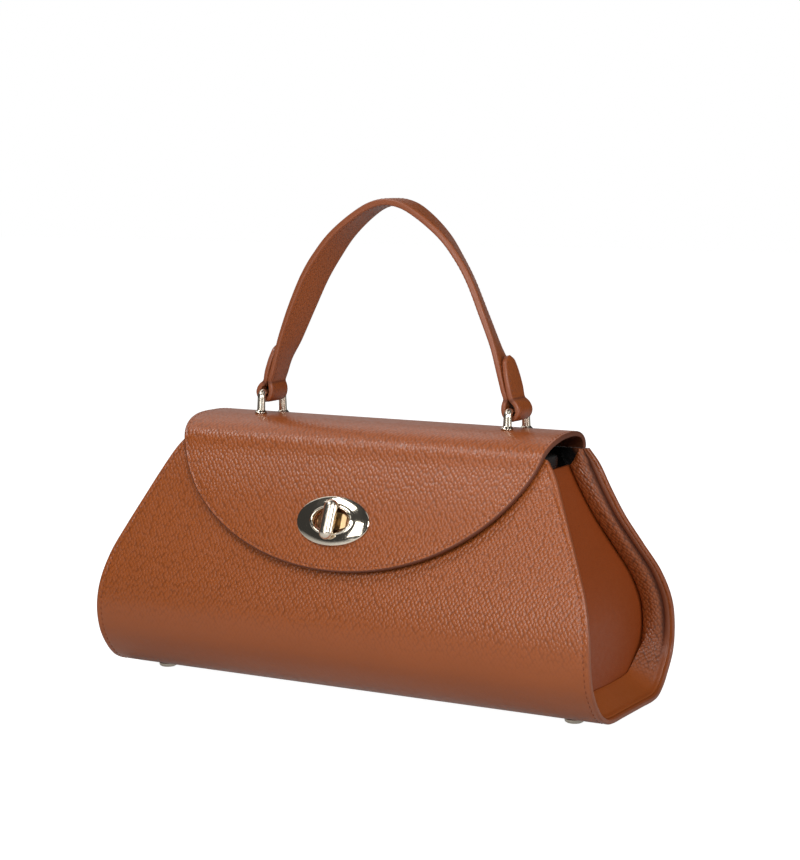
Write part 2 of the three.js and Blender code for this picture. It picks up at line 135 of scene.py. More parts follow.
# The same strip where it lies along the bottom, rising plainly to the end panel
FACING_BOTTOM_SECTION = np.array([
    (2.0, 0.2),
    (2.3, 0.7),
    (4.2, 1.2),
    (5.2, 1.6),
    (6.2, 2.2),
    (8.8, 4.0),
    (12.6, 6.7),
    (15.8, 9.0),
    (16.8, 9.5),
    (17.0, 0.2),
])
FACING_VALLEY = 5.2
FACING_VALLEY_WIDTH = 1.6
# Painted shade in the valley, through the seam mask
FACING_VALLEY_SHADE = 0.8
FACING_ROLL_LOW = 6.0
FACING_ROLL_HIGH = 46.0
FACING_GRAIN_FADE = (5.0, 20.0)
# Painted shade through the seam mask: over the padded roll, and on the outer band before the valley
FACING_SHADE = 0.13
FACING_OUTER_SHADE = 0.4
FACING_OUTER_PAINT = 0.6
FACING_GRAIN = 1.5
FACING_GRAIN_LEAST = 0.12
FACING_WIDTH = 17.0
FACING_TOP_WIDTH = 4.0
FACING_TAPER_START = 127.0
FACING_COLUMNS = 44
FACING_BACK_COLUMNS = 8
FACING_BACK_RISE = 0.15
# The swelling of its roll and the puckers at the roll's ends, as shares of the rise, and their lengths
SWELL = 0.05
SWELL_SHORT = 9.0
SWELL_LONG = 31.0
SWELL_ASIDE = 4.0
PUCKER = 0.015
PUCKER_LENGTH = 1.9
PUCKER_SLANT = 0.5
PUCKER_INSET = 9.0

# The recessed end panel, the lining and the black lip behind the panel
GUSSET_TOP = 127.0
GUSSET_ROWS = 90
GUSSET_CROWD = 1.6
GUSSET_COLUMNS = 60
GUSSET_TUCK = 0.4
GUSSET_TUCK_WIDTH = 1.5
LINING_TOP = 135.5
LINING_TAPER_LAG = 5.0
LINING_ROWS = 160
LINING_COLUMNS = 30
LIP_TOP = 135.0
LIP_END = 17.0
LIP_FALL = 7.0
LIP_DEPTH = 8.0
LIP_LEAST = 0.5
LIP_ROWS = 60
LIP_CREST_STEPS = 17
LIP_HALF_THICKNESS = 1.9
LIP_SWING = 2.6
LIP_SWING_LENGTH = 16.0

# The flap's underside. Columns of the front: height, lift off the body. Columns of the arch: y, height
FLAP_FRONT = np.array([
    (71.2, 2.6),
    (84.0, 2.9),
    (96.0, 2.9),
    (108.0, 2.4),
    (119.0, 1.5),
    (129.0, 0.8),
])
FLAP_ARCH = np.array([
    (-22.0, 137.2),
    (-17.6, 140.9),
    (-11.5, 143.3),
    (-4.0, 144.6),
    (4.0, 144.9),
    (13.0, 144.8),
    (21.0, 143.7),
    (26.4, 141.5),
    (28.8, 138.8),
    (29.2, 136.55),
])
FLAP_X = -0.8
FLAP_HALF_WIDTH = 114.5
FLAP_BACK_HALF_WIDTH = 111.0
FLAP_ROUND = 88.0
FLAP_UNDERSIDE = 0.82
# Painted shade on the flap's edge, which faces down into the shadow over the front panel
FLAP_EDGE_SHADE = 0.6
FLAP_STITCH_INSET = 2.4
FLAP_GROOVE_SHARE = 0.6
FLAP_SEAM_END = 4.0
FLAP_SEAM_INSET = 3.0
FLAP_SEAM_STEPS = 200
FLAP_GRAIN_FADE = (70.0, 98.0)
FLAP_GRAIN_TOP = 0.35
FLAP_ROWS_ROUND = 220
FLAP_ROWS_SIDE = 40
FLAP_LINE_STEPS = 1200
FLAP_FACE_COLUMNS = 44
FLAP_UNDER_COLUMNS = 14
FLAP_CROWD = 1.5

# The lock, in its own frame: X across, Y up the panel, Z out of the flap's face
PLATE_HALF = np.array([22.4, 13.5])
PLATE_HOLE = np.array([12.0, 7.6])
# Columns: share of the way from the hole to the outline, rise on the long axis
PLATE_SECTION = np.array([
    (1.0, 0.3),
    (1.0, 0.5),
    (0.985, 0.72),
    (0.95, 0.9),
    (0.88, 1.19),
    (0.7, 1.85),
    (0.5, 2.42),
    (0.3, 2.81),
    (0.14, 3.0),
    (0.08, 3.2),
    (0.04, 3.5),
    (0.0, 3.6),
    (-0.05, 3.4),
    (-0.08, 2.6),
    (-0.08, 0.3),
])
PLATE_CREST = 3.0
BOSS_HALF = np.array([10.7, 6.4])
# Columns: share of the boss's outline, rise
BOSS_SECTION = np.array([
    (1.0, -5.0),
    (1.0, 0.3),
    (0.97, 0.55),
    (0.9, 0.6),
    (0.5, 0.6),
    (0.0, 0.6),
])
# The wedge that stands in the boss. Its end and its breadth are shares of the boss's oval
LOCK_WEDGE_RIDGE = 6.3
LOCK_WEDGE_RISE = 2.4
LOCK_WEDGE_SLOPE = 0.32
LOCK_WEDGE_LENGTH = 5.0
LOCK_WEDGE_END = 0.82
LOCK_WEDGE_BREADTH = 0.8
LOCK_WEDGE_FOOT = 1.5
TOGGLE_HALF_LENGTH = 11.0
TOGGLE_HALF_WIDTH = 4.0
# Columns: inset from the bar's outline, rise
TOGGLE_SECTION = np.array([
    (1.2, 3.9),
    (0.35, 4.1),
    (0.0, 4.8),
    (0.05, 5.6),
    (0.3, 6.4),
    (0.85, 7.2),
    (1.7, 7.9),
    (2.8, 8.4),
    (4.0, 8.6),
])
# Columns: radius, rise
NECK_SECTION = np.array([
    (3.0, 1.9),
    (3.0, 4.4),
])
# Faces of the lock's pieces: along the section or across, and round or up
PLATE_FACES = (64, 160)
BOSS_FACES = (40, 120)
LOCK_WEDGE_FACES = (25, 13)
TOGGLE_FACES = (44, 96)
NECK_SIDES = 40

# The wire staples. The left one stands higher by the lift, and so does the strap's left foot
STAPLE_X = 78.0
STAPLE_TOP = 157.0
STAPLE_HALF_SPAN = 11.0
STAPLE_WIRE = 2.2
STAPLE_WIRE_FOOT = 2.45
STAPLE_SPLAY = 0.7
LEFT_LIFT = 2.3
LEFT_LIFT_END = 200.0
STAPLE_BEND = 3.0
STAPLE_BEND_GAP = 0.4
STAPLE_FOOT = 141.6
WIRE_SIDES = 28
WIRE_BEND_STEPS = 14
# Columns: radius, height above the flap's face
COLLAR_SECTION = np.array([
    (2.5, 1.9),
    (2.8, 1.5),
    (3.3, 1.0),
    (3.5, 0.6),
    (3.3, 0.2),
    (2.3, 0.2),
])
COLLAR_FACES = (24, 40)

# The strap
STRAP_MIDDLE = 12.5
STRAP_LEAN = 3.0
STRAP_LEAN_START = 200.0
STRAP_HALF_WIDTH = 8.4
STRAP_TOP_HALF_WIDTH = 9.2
STRAP_TOP_WALL = 3.6
STRAP_GROWTH_START = 172.0
STRAP_GROWTH_END = 218.0
STRAP_TIP_ROUND = 3.0
STRAP_TIP_LEAST = 0.02
STRAP_LEAST_HALF = 0.2
STRAP_CROWN = 0.25
STRAP_CREASE = 162.6
STRAP_CREASE_WIDTH = 0.8
# Painted shade in the crease where the tab meets the loop
STRAP_CREASE_SHADE = 0.6
STRAP_WAIST = 0.5
STRAP_WAIST_WIDTH = 2.4
# Columns: x, height, twist in degrees, half width
TAB_ROUTE = np.array([
    (72.1, 186.0, 0.0, 3.0),
    (72.9, 183.0, 0.0, 5.6),
    (74.4, 177.0, 0.0, 7.6),
    (76.2, 170.0, 0.0, STRAP_HALF_WIDTH),
    (78.0, 163.2, 0.0, STRAP_HALF_WIDTH),
    (80.9, 160.4, 0.0, STRAP_HALF_WIDTH),
])
LOOP_RADIUS = STAPLE_WIRE + 2 * CLEAR + STRAP_WALL / 2
LOOP_STEPS = 4
# Columns: x, height, twist in degrees
LIMB_ROUTE = np.array([
    (74.0, 160.4, 0.0),
    (74.7, 163.2, 0.0),
    (73.2, 168.5, 0.0),
    (70.4, 177.5, 3.0),
    (65.4, 190.0, 16.0),
    (57.6, 208.0, 21.0),
    (49.0, 226.0, 23.0),
    (41.8, 237.2, 22.0),
    (32.4, 248.9, 16.0),
    (19.2, 260.0, 7.0),
    (9.6, 265.5, 2.0),
    (0.0, 267.4, 0.0),
])
STRAP_ROWS = 460
STRAP_COLUMNS = (14, 5, 0.2)
STRAP_INNER_COLUMNS = 18

# The stitches, and where they lie on the strap
STITCH_RINGS = 6
STITCH_SIDES = 6
STITCH_TAPER = 0.35
STITCH_SINK = 0.3
STITCH_RAISED = 0.1
STITCH_UV_STEP = 0.4
STRAP_STITCH_INSET = 2.4
STRAP_STITCH_LIFT = 0.05
STRAP_STITCH_SPACING = 0.8
STRAP_STITCH_LEAST_HALF = 4.5

# The studs. Columns: radius, height
FOOT_X = 129.0
FOOT_Y = 21.0
FOOT_SIDES = 48
FOOT_SECTION = np.array([
    (0.0, 0.0),
    (3.2, 0.0),
    (4.1, 0.15),
    (4.8, 0.6),
    (5.15, 1.3),
    (5.2, 2.2),
    (4.6, 2.5),
    (4.6, 3.3),
])

# The leather's grain and mottling. A noise is its scale and its detail
GRAIN_SLANT = math.radians(42)
GRAIN_RANDOMNESS = 0.5
GRAIN_WARP = 0.36
GRAIN_WARP_NOISE = (0.55, 1.0)
GRAIN_FINE_NOISE = (3.2, 2.0)
GRAIN_FINE_HEIGHT = 0.12
GRAIN_SLOW_NOISE = (0.045, 2.0)
GRAIN_SLOW_DEPTH = (0.82, 1.0)
PEBBLE_BORDER = 0.75
CREASE_START = 0.3
# Painted shade: how much darker the grain's creases are coloured
CREASE_SHADE = 0.33
NOISE_RANGE = (0.3, 0.7)
MOTTLE_NOISE = (28.0, 3.0)
MOTTLE_RANGE = (0.98, 1.02)

# The finishes. Leather: grain's width, length and depth as shares of the settings, roughness, specular level
PEBBLED = LeatherFinish(1.0, 1.0, 1.0, 0.33, 0.6)
PRESSED = LeatherFinish(0.7, 0.6, 0.5, 0.4, 0.6)
SMOOTH = LeatherFinish(0.35, 0.3, 0.08, 0.42, 0.4)
GLOSSY = LeatherFinish(0.4, 0.4, 0.15, 0.28, 0.5)
SMOOTHER = 0.04
ROUGHER = 0.08
SEAM_ROUGHNESS = 0.6
EDGE_RELIEF = 0.15
# Metal: least and greatest roughness
POLISHED = (0.09, 0.12)
BUFFED = (0.22, 0.26)
SATIN = (0.3, 0.42)
DULL_BOSS = (0.34, 0.46)
HAZE_NOISE = (260.0, 4.0)
HAZE_RANGE = (0.35, 0.75)
# Thread
TWIST_SCALE = 300.0
# Painted shade on the thread's twist bands
TWIST_SHADE = 0.35
TWIST_DEPTH = 0.05
THREAD_ROUGHNESS = 0.5

# The photographer's stand: turn and drop of the camera in degrees, its place and its lens in pixels
VIEW_TURN = 29.5
VIEW_DROP = 7.0
VIEW_ASIDE = 11.4
VIEW_RISE = 141.8
VIEW_DISTANCE = 1185.0
VIEW_FOCUS = 2125.0
IMAGE_LONG_SIDE = 860.0
SENSOR = 36.0

# The floor
FLOOR_REACH = 6000.0
FLOOR_SHOWN = (0.9, 0.9, 0.9)
FLOOR_COLOUR = (0.5, 0.5, 0.5)
FLOOR_ROUGHNESS = 0.7
FLOOR_GLOW = 0.985
# How bright the floor's painted glow looks in the fittings: near the bag, under it, and in a wide wedge
# towards the camera
MIRRORED_NEAR = 0.16
MIRRORED_UNDER = 0.3
MIRRORED_FAR = 0.8
RING_HALF = (0.15, 0.055, 1.0)
RING_UNDER = (0.8, 1.1)
VIEW_WEDGE = (0.3, 0.7)
# The soft lights, in metres: place and size. All are aimed at one point in the bag
LIGHTS = {
    "tall_light": ((-0.05, -1.0, 0.44), (0.35, 0.5)),
    "left_light": ((-0.52, -0.6, 1.15), (0.55, 0.32)),
    "right_light": ((0.6, -0.3, 1.2), (0.5, 0.5)),
    "near_light": ((0.36, -0.45, 0.4), (0.2, 0.2)),
    "side_light": ((1.1, 0.0, 0.35), (0.4, 0.5)),
    "back_light": ((-0.86, 1.5, 0.45), (1.6, 0.6)),
    "over_light": ((-0.66, 0.42, 1.0), (1.2, 0.9)),
}
LIGHT_AIM = (0.0, 0.0, 0.09)
NEARLY_UP = (0.0, 1e-3, 1.0)


# Settings

def length_setting(name, description, size):
    """A property for a length, given in millimetres."""
    return FloatProperty(name=name, description=description, default=size * MM, unit="LENGTH")


def colour_setting(name, description, *colour):
    """A property for a colour."""
    return FloatVectorProperty(name=name, description=description, default=colour, size=3, min=0, max=1,
                               subtype="COLOR")


def power_setting(name, description, watts):
    """A property for a light's strength."""
    return FloatProperty(name=name, description=description, default=watts, min=0, unit="POWER")


class HandbagLeather(bpy.types.PropertyGroup):
    """Sizes of the leather's grain, edges and stitching."""

    grain_width: length_setting("Grain width", "Width of one pebble of the grain", 1.75)
    grain_length: length_setting("Grain length", "Length of one pebble, up the panel", 2.5)
    grain_depth: length_setting("Grain depth", "Height of the pebbles over the creases between them", 0.17)
    edge_round: length_setting("Edge rounding", "Radius of the painted edges' corners", 0.9)
    stitch_spacing: length_setting("Stitch spacing", "Distance from one stitch to the next", 3.3)
    stitch_length: length_setting("Stitch length", "Length of one stitch", 2.5)
    stitch_width: length_setting("Stitch width", "Thickness of the thread", 0.48)
    stitch_inset: length_setting("Stitch inset", "Distance of the stitching from a panel's edge", 3.4)


class HandbagColours(bpy.types.PropertyGroup):
    """Colours of the leathers, the thread and the metal."""

    tan: colour_setting("Pebbled leather", "Colour of the body, flap and strap", 0.392, 0.0955, 0.0185)
    brown: colour_setting("Smooth leather", "Colour of the end panels", 0.37, 0.0755, 0.0145)
    paint: colour_setting("Edge paint", "Colour of the painted edges", 0.32, 0.088, 0.031)
    # Painted shade, which each piece's seam mask mixes in: in the facings' valley and over their roll, on
    # the flap's edge and in the strap's crease
    shadow: colour_setting("Seam", "Colour of the leather deep in a seam", 0.05, 0.011, 0.005)
    lining: colour_setting("Lining", "Colour of the lining", 0.006, 0.006, 0.006)
    thread: colour_setting("Thread", "Colour of the stitching", 0.3, 0.074, 0.02)
    gold: colour_setting("Gold plate", "Colour of the polished and buffed fittings", 0.90, 0.81, 0.67)
    satin: colour_setting("Satin gold", "Colour of the wedge and the neck inside the lock", 0.62, 0.44, 0.23)
    # Painted shade: the boss is coloured dark for the shadow deep in the lock's hole
    boss_painted_shade: colour_setting("Gold with painted shade", "Colour of the boss deep inside the lock", 0.2, 0.105, 0.055)


class HandbagStudio(bpy.types.PropertyGroup):
    """Strengths of the studio's lights."""

    tall_light: power_setting("Tall light", "Tall soft light in front", 2.85)
    left_light: power_setting("High left light", "Soft light high on the left in front", 4.4)
    right_light: power_setting("High right light", "Soft light high on the right", 0.9)
    near_light: power_setting("Near light", "Small soft light near the right end", 1.3)
    side_light: power_setting("Side light", "Soft light at the right end", 2.6)
    back_light: power_setting("Back light", "Low wide light from behind", 1.2)
    over_light: power_setting("Overhead light", "Wide soft light above and behind on the left", 3.2)
    surround: FloatProperty(
        name="Surround", description="Brightness of the room round the bag", default=0.04, min=0)


def millimetres(name):
    """One of the leather's sizes, in millimetres."""
    return getattr(bpy.context.scene.handbag_leather, name) / MM


# Curves

def curve_at(points, places, power=0.5):
    """A Catmull-Rom curve through the points, read at places counted in points from the first.

    Each stretch is the cubic that leaves and arrives with the tangents of the non-uniform Catmull-Rom rule,
    its knots spaced by the distance between points to the given power. The end tangents come from one more
    point mirrored past each end.
    """
    points = np.asarray(points, float)
    padded = np.vstack([2 * points[0] - points[1], points, 2 * points[-1] - points[-2]])
    stretch = np.clip(np.floor(places).astype(int), 0, len(points) - 2)
    share = (np.asarray(places, float) - stretch)[:, None]
    before, start, stop, after = (padded[stretch + step] for step in range(4))
    first = np.linalg.norm(start - before, axis=1, keepdims=True) ** power
    middle = np.linalg.norm(stop - start, axis=1, keepdims=True) ** power
    last = np.linalg.norm(after - stop, axis=1, keepdims=True) ** power
    step = stop - start
    leave = middle * ((start - before) / first - (stop - before) / (first + middle)) + step
    arrive = step + middle * ((after - stop) / last - (after - start) / (middle + last))
    square = share * share
    cube = square * share
    return ((2 * cube - 3 * square + 1) * start + (cube - 2 * square + share) * leave
            + (3 * square - 2 * cube) * stop + (cube - square) * arrive)


def even_places(points, count, fine=48):
    """Places an even length apart along a curve: its running length, turned round by interpolation."""
    dense = np.linspace(0, len(points) - 1, fine * (len(points) - 1) + 1)
    length = running_length(curve_at(points, dense))
    return np.interp(np.linspace(0, length[-1], count), length, dense)


def even_line(points, count):
    """Points an even length apart on the curve through the given ones."""
    return curve_at(points, even_places(points, count))


def running_length(points):
    """The length from the first point to each point, along the next-to-last axis of the array."""
    steps = np.linalg.norm(np.diff(points, axis=-2), axis=-1)
    start = np.zeros(steps.shape[:-1] + (1,))
    return np.concatenate([start, np.cumsum(steps, axis=-1)], axis=-1)


def unit(vectors):
    """The same vectors at length one."""
    return vectors / np.linalg.norm(vectors, axis=-1, keepdims=True)


def ease(value, low, high):
    """Zero below the low value, one above the high value, and a smooth step between them."""
    share = np.clip((value - low) / (high - low), 0, 1)
    return share * share * (3 - 2 * share)


def bump_at(distance, width):
    """A smooth hump of height one at distance zero, as wide as the given width."""
    return np.exp(-(distance / width) ** 2)


# The body's outside line

def body_places(count):
    """Places along the outside of the body, from the front top, under the bottom, to the back top.

    The line is a smooth curve through the table's rows, and the outward direction is its tangent turned by a
    quarter in the YZ plane.
    """
    height, front, back, half = BODY_SECTIONS.T
    down = np.column_stack([half, -front, height])[::-1]
    up = np.column_stack([half, back, height])
    line = even_line(np.vstack([down, up]), count)
    run = unit(np.gradient(line[:, 1:], axis=0))
    return Places(line[:, 0], line[:, 1], line[:, 2], run[:, 1], -run[:, 0], running_length(line[:, 1:]))


def inside(places, depth):
    """Y and Z of points at a depth inside the body's outer face, for a grid of places by depths."""
    y = places.y[:, None] - places.out_y[:, None] * depth
    z = places.z[:, None] - places.out_z[:, None] * depth
    return y, z


def half_width_at(height):
    """Half the body's width at each height, read from the back of the body's line."""
    places = body_places(BODY_ROWS)
    back = places.y > 0
    return np.interp(height, places.z[back], places.half[back])


def facing_width(height):
    """The padded strip's width: full below the gusset's top, then narrowing evenly to the mouth."""
    share = np.clip((height - FACING_TAPER_START) / (BODY_TOP - FACING_TAPER_START), 0, 1)
    return FACING_WIDTH + (FACING_TOP_WIDTH - FACING_WIDTH) * share


# Meshes

def grid_corners(rows, columns, close_rows=False, close_columns=False):
    """Rows and columns of the four corners of each face of a grid, in order round the face."""
    row, column = np.meshgrid(np.arange(rows - (not close_rows)), np.arange(columns - (not close_columns)),
                              indexing="ij")
    return [(row, column), (row + 1, column), (row + 1, column + 1), (row, column + 1)]


def grid_faces(corners, rows, columns):
    """Point numbers of the faces with these corners, where a corner past the grid's end is its first one."""
    return np.stack([(r % rows) * columns + c % columns for r, c in corners], axis=-1).reshape(-1, 4)


def new_mesh(name, points, faces, uv):
    """A mesh of points in millimetres, with a UV map in metres: a row for each corner of each face."""
    mesh = bpy.data.meshes.new(name)
    mesh.from_pydata((points.reshape(-1, 3) * MM).tolist(), [], faces)
    layer = mesh.uv_layers.new(name="surface")
    layer.uv.foreach_set("vector", (uv * MM).astype(np.float32).ravel())
    return mesh


def surface_piece(name, points, uv, masks=None, close_rows=False, close_columns=False, caps=False):
    """A mesh of four-sided faces over a grid of points in millimetres, with a UV map in metres.

    A closed direction joins its last line to its first. Caps fill the first and last row. Points that
    coincide are merged, so poles and seams close, and the faces are then turned outwards.
    """
    rows, columns = points.shape[:2]
    corners = grid_corners(rows, columns, close_rows, close_columns)
    faces = grid_faces(corners, rows, columns).tolist()
    corner_uv = np.stack([uv[r, c] for r, c in corners], axis=-2).reshape(-1, 2)
    if caps:
        first = np.arange(columns)
        last = (rows - 1) * columns + first
        faces += [first[::-1].tolist(), last.tolist()]
        corner_uv = np.vstack([corner_uv, uv[0, :columns][::-1], uv[rows - 1, :columns]])
    mesh = new_mesh(name, points, faces, corner_uv)
    for label, values in (masks or {}).items():
        attribute = mesh.attributes.new(label, "FLOAT", "POINT")
        spread = np.broadcast_to(values, (rows, columns)).astype(np.float32)
        attribute.data.foreach_set("value", spread.ravel())
    return tidy_piece(name, mesh)


def tidy_piece(name, mesh):
    """Merges coinciding points, faces the mesh outwards, shades it smooth and links its object."""
    work = bmesh.new()
    work.from_mesh(mesh)
    bmesh.ops.remove_doubles(work, verts=work.verts, dist=MERGE_DISTANCE * MM)
    bmesh.ops.recalc_face_normals(work, faces=work.faces)
    work.to_mesh(mesh)
    work.free()
    mesh.shade_smooth()
    mesh.set_sharp_from_angle(angle=SHARP_ANGLE)
    piece = bpy.data.objects.new(name, mesh)
    bpy.context.scene.collection.objects.link(piece)
    return piece


def finish_piece(piece, material, slot, *nodes, body="bag"):
    """Gives a piece its material, sets it riding on its body, and hides the solids that it stands for."""
    piece.data.materials.append(material)
    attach(piece, body)
    if nodes:
        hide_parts(*nodes)
    return piece


def add_piece(name, surface, closing, *finish, body="bag"):
    """Makes a surface into a finished piece, from its material, its slot, which is not used, and the solids
    it stands for.
    """
    return finish_piece(surface_piece(name, *surface, **closing), *finish, body=body)


def leather(points, uv, **masks):
    """A leather surface with all four masks: painted edge, inner face, depth of the grain, and the seam mask
    of painted shade.
    """
    return points, uv, {**LEATHER_MASKS, **masks}


def band_section(thickness, radius, shares, inner_columns):
    """One closed section of a band of leather, in order round it: outer face, edge, inner face, other edge.

    Across the band a point lies at share times the half width less the radius, plus its reach. Each edge is
    two quarter circles. The edge mask is one on the edges, and the inner mask is one on the inner face.
    """
    turn = np.linspace(0, np.pi / 2, CORNER_STEPS + 1)
    reach = radius * np.concatenate([np.sin(turn[1:]), np.cos(turn[:-1])])
    depth = np.concatenate([
        radius - radius * np.cos(turn[1:]), thickness - radius + radius * np.sin(turn[:-1])])
    flat, back, side = np.zeros(len(shares)), np.zeros(inner_columns), np.ones(len(reach))
    return Band(
        np.concatenate([shares, side, np.linspace(1, -1, inner_columns), -side]),
        np.concatenate([flat, reach, back, -reach[::-1]]),
        np.concatenate([flat, depth, back + thickness, depth[::-1]]),
        np.concatenate([flat, side, back, side]),
        np.concatenate([flat, 0 * side, back + 1, 0 * side]),
    )


def crowded_shares(middle, edge, edge_share):
    """Shares from -1 to 1 across a band, closer together near both edges."""
    low = np.linspace(-1, -1 + edge_share, edge, endpoint=False)
    return np.concatenate([low, np.linspace(-1 + edge_share, 1 - edge_share, middle), -low[::-1]])


def section_uv(points, along, start):
    """UV of a closed section, one column wider than its points: length round from a start, length along."""
    closed = np.concatenate([points, points[:, :1]], axis=1)
    around = running_length(closed) + start[:, None]
    return np.stack([around, np.broadcast_to(along[:, None], around.shape)], axis=-1)


def plain_uv(points):
    """A UV map of row and column numbers, one wider than the grid, for a finish that doesn't read it."""
    rows, columns = points.shape[:2]
    numbers = np.meshgrid(np.arange(rows + 1.0), np.arange(columns + 1.0), indexing="ij")
    return np.stack(numbers, axis=-1)


# Shader nodes

def fill_sockets(tree, made, sockets):
    """Fills a node's sockets, by name or number, with values or with links from other sockets."""
    for key, value in sockets.items():
        if isinstance(value, bpy.types.NodeSocket):
            tree.links.new(value, made.inputs[key])
        else:
            made.inputs[key].default_value = value


def add_node(tree, kind, sockets=None, **settings):
    """Adds a shader node, sets its own settings and fills its sockets."""
    made = tree.nodes.new("ShaderNode" + kind)
    made.location = (220 * (len(tree.nodes) % 8), -260 * (len(tree.nodes) // 8))
    for key, value in settings.items():
        setattr(made, key, value)
    fill_sockets(tree, made, sockets or {})
    return made


def compute(tree, operation, *values):
    """A number worked out from others by a Math node."""
    return add_node(tree, "Math", dict(enumerate(values)), operation=operation).outputs[0]


def vector_math(tree, operation, *values):
    """A vector worked out by a Vector Math node, or a number where the operation gives one."""
    made = add_node(tree, "VectorMath", dict(enumerate(values)), operation=operation)
    return made.outputs["Value" if operation in ("DOT_PRODUCT", "LENGTH") else "Vector"]


def remap(tree, value, source, target, **settings):
    """A value carried from one range to another by a Map Range node, and held at the ends."""
    labels = ("Value", "From Min", "From Max", "To Min", "To Max")
    return add_node(tree, "MapRange", dict(zip(labels, (value, *source, *target))), **settings).outputs[0]


def noise(tree, place, scale, detail, output="Fac"):
    """A noise texture of a given fineness at a place."""
    return add_node(tree, "TexNoise", {"Vector": place, "Scale": scale, "Detail": detail}).outputs[output]


def mask(tree, name):
    """One of the piece's own masks, read from its attribute."""
    return add_node(tree, "Attribute", attribute_name=name).outputs["Fac"]


def mixed(tree, factor, plain, other):
    """The plain colour where the factor is zero, and the other colour where it is one."""
    sockets = {"Factor": factor, "A": plain, "B": opaque(other)}
    return add_node(tree, "Mix", sockets, data_type="RGBA").outputs["Result"]


def opaque(colour):
    """A colour property with full alpha."""
    return (*colour, 1.0)


def new_group(name, inputs, outputs):
    """An empty node group with named sockets. Returns its tree, what it is given and what it gives."""
    tree = bpy.data.node_groups.new(name, "ShaderNodeTree")
    for direction, sockets in (("INPUT", inputs), ("OUTPUT", outputs)):
        for label, kind in sockets.items():
            tree.interface.new_socket(name=label, in_out=direction, socket_type="NodeSocket" + kind)
    return tree, tree.nodes.new("NodeGroupInput").outputs, tree.nodes.new("NodeGroupOutput").inputs


def pebble_group():
    """Pebbled grain: cells of a warped Voronoi pattern set on the slant, each one domed.

    The height falls smoothly from each cell's centre to its border, with a little fine noise on top, and a
    slow noise makes the grain deeper in some places than in others. The crease mask rises to one towards the
    borders.
    """
    tree, given, out = new_group(
        "Pebble grain", {"Vector": "Vector", "Width": "Float", "Length": "Float"},
        {"Height": "Float", "Crease": "Float"})
    size = add_node(tree, "CombineXYZ", {"X": given["Width"], "Y": given["Length"], "Z": 1.0})
    scaled = vector_math(tree, "DIVIDE", given["Vector"], size.outputs[0])
    turned = add_node(tree, "VectorRotate", {"Vector": scaled, "Angle": GRAIN_SLANT}, rotation_type="Z_AXIS")
    cells = turned.outputs[0]
    warp = vector_math(tree, "SUBTRACT", noise(tree, cells, *GRAIN_WARP_NOISE, "Color"), (0.5, 0.5, 0.5))
    shifted = vector_math(tree, "MULTIPLY_ADD", warp, (GRAIN_WARP, GRAIN_WARP, 0.0), cells)
    voronoi = add_node(tree, "TexVoronoi", {"Vector": shifted, "Scale": 1.0, "Randomness": GRAIN_RANDOMNESS},
                       feature="F1", voronoi_dimensions="2D")
    distance = voronoi.outputs["Distance"]
    smooth = {"interpolation_type": "SMOOTHSTEP"}
    rise = remap(tree, distance, (0.0, PEBBLE_BORDER), (1.0, 0.0), **smooth)
    depth = remap(tree, noise(tree, cells, *GRAIN_SLOW_NOISE), NOISE_RANGE, GRAIN_SLOW_DEPTH)
    grain = compute(tree, "MULTIPLY", rise, depth)
    height = compute(tree, "MULTIPLY_ADD", noise(tree, cells, *GRAIN_FINE_NOISE), GRAIN_FINE_HEIGHT, grain)
    crease = remap(tree, distance, (CREASE_START, PEBBLE_BORDER), (0.0, 1.0), **smooth)
    tree.links.new(height, out["Height"])
    tree.links.new(crease, out["Crease"])
    return tree


def mottle_and_crease_shade_group():
    """Leather colour: darker in the creases as painted shade, with a slow mottling a few centimetres wide.
    """
    tree, given, out = new_group(
        "Leather tone", {"Colour": "Color", "Crease": "Float", "Crease Shade": "Float", "Vector": "Vector"},
        {"Colour": "Color"})
    mottle = remap(tree, noise(tree, given["Vector"], *MOTTLE_NOISE), NOISE_RANGE, MOTTLE_RANGE)
    shade = compute(tree, "MULTIPLY", given["Crease"], given["Crease Shade"])
    kept = compute(tree, "SUBTRACT", 1.0, shade)
    scale = compute(tree, "MULTIPLY", kept, mottle)
    toned = add_node(tree, "VectorMath", {0: given["Colour"], "Scale": scale}, operation="SCALE")
    tree.links.new(toned.outputs[0], out["Colour"])
    return tree


def haze_group():
    """Handling marks: a noise of several scales that makes a finish a little rougher in places."""
    tree, given, out = new_group(
        "Handling haze", {"Vector": "Vector", "Smooth": "Float", "Rough": "Float"}, {"Roughness": "Float"})
    marks = noise(tree, given["Vector"], *HAZE_NOISE)
    rough = remap(tree, marks, HAZE_RANGE, (given["Smooth"], given["Rough"]))
    tree.links.new(rough, out["Roughness"])
    return tree


GROUPS = {"Pebble grain": pebble_group, "Leather tone": mottle_and_crease_shade_group, "Handling haze": haze_group}


def add_group(tree, name, sockets):
    """Places one of the shared node groups, which is built the first time it is used."""
    return add_node(tree, "Group", sockets, node_tree=bpy.data.node_groups.get(name) or GROUPS[name]())


# Materials

def new_material(name, colour):
    """A material with a Principled shader. Returns it, its tree and the shader."""
    material = bpy.data.materials.new(name)
    material.use_nodes = True
    material.diffuse_color = opaque(colour)
    tree = material.node_tree
    return material, tree, tree.nodes["Principled BSDF"]


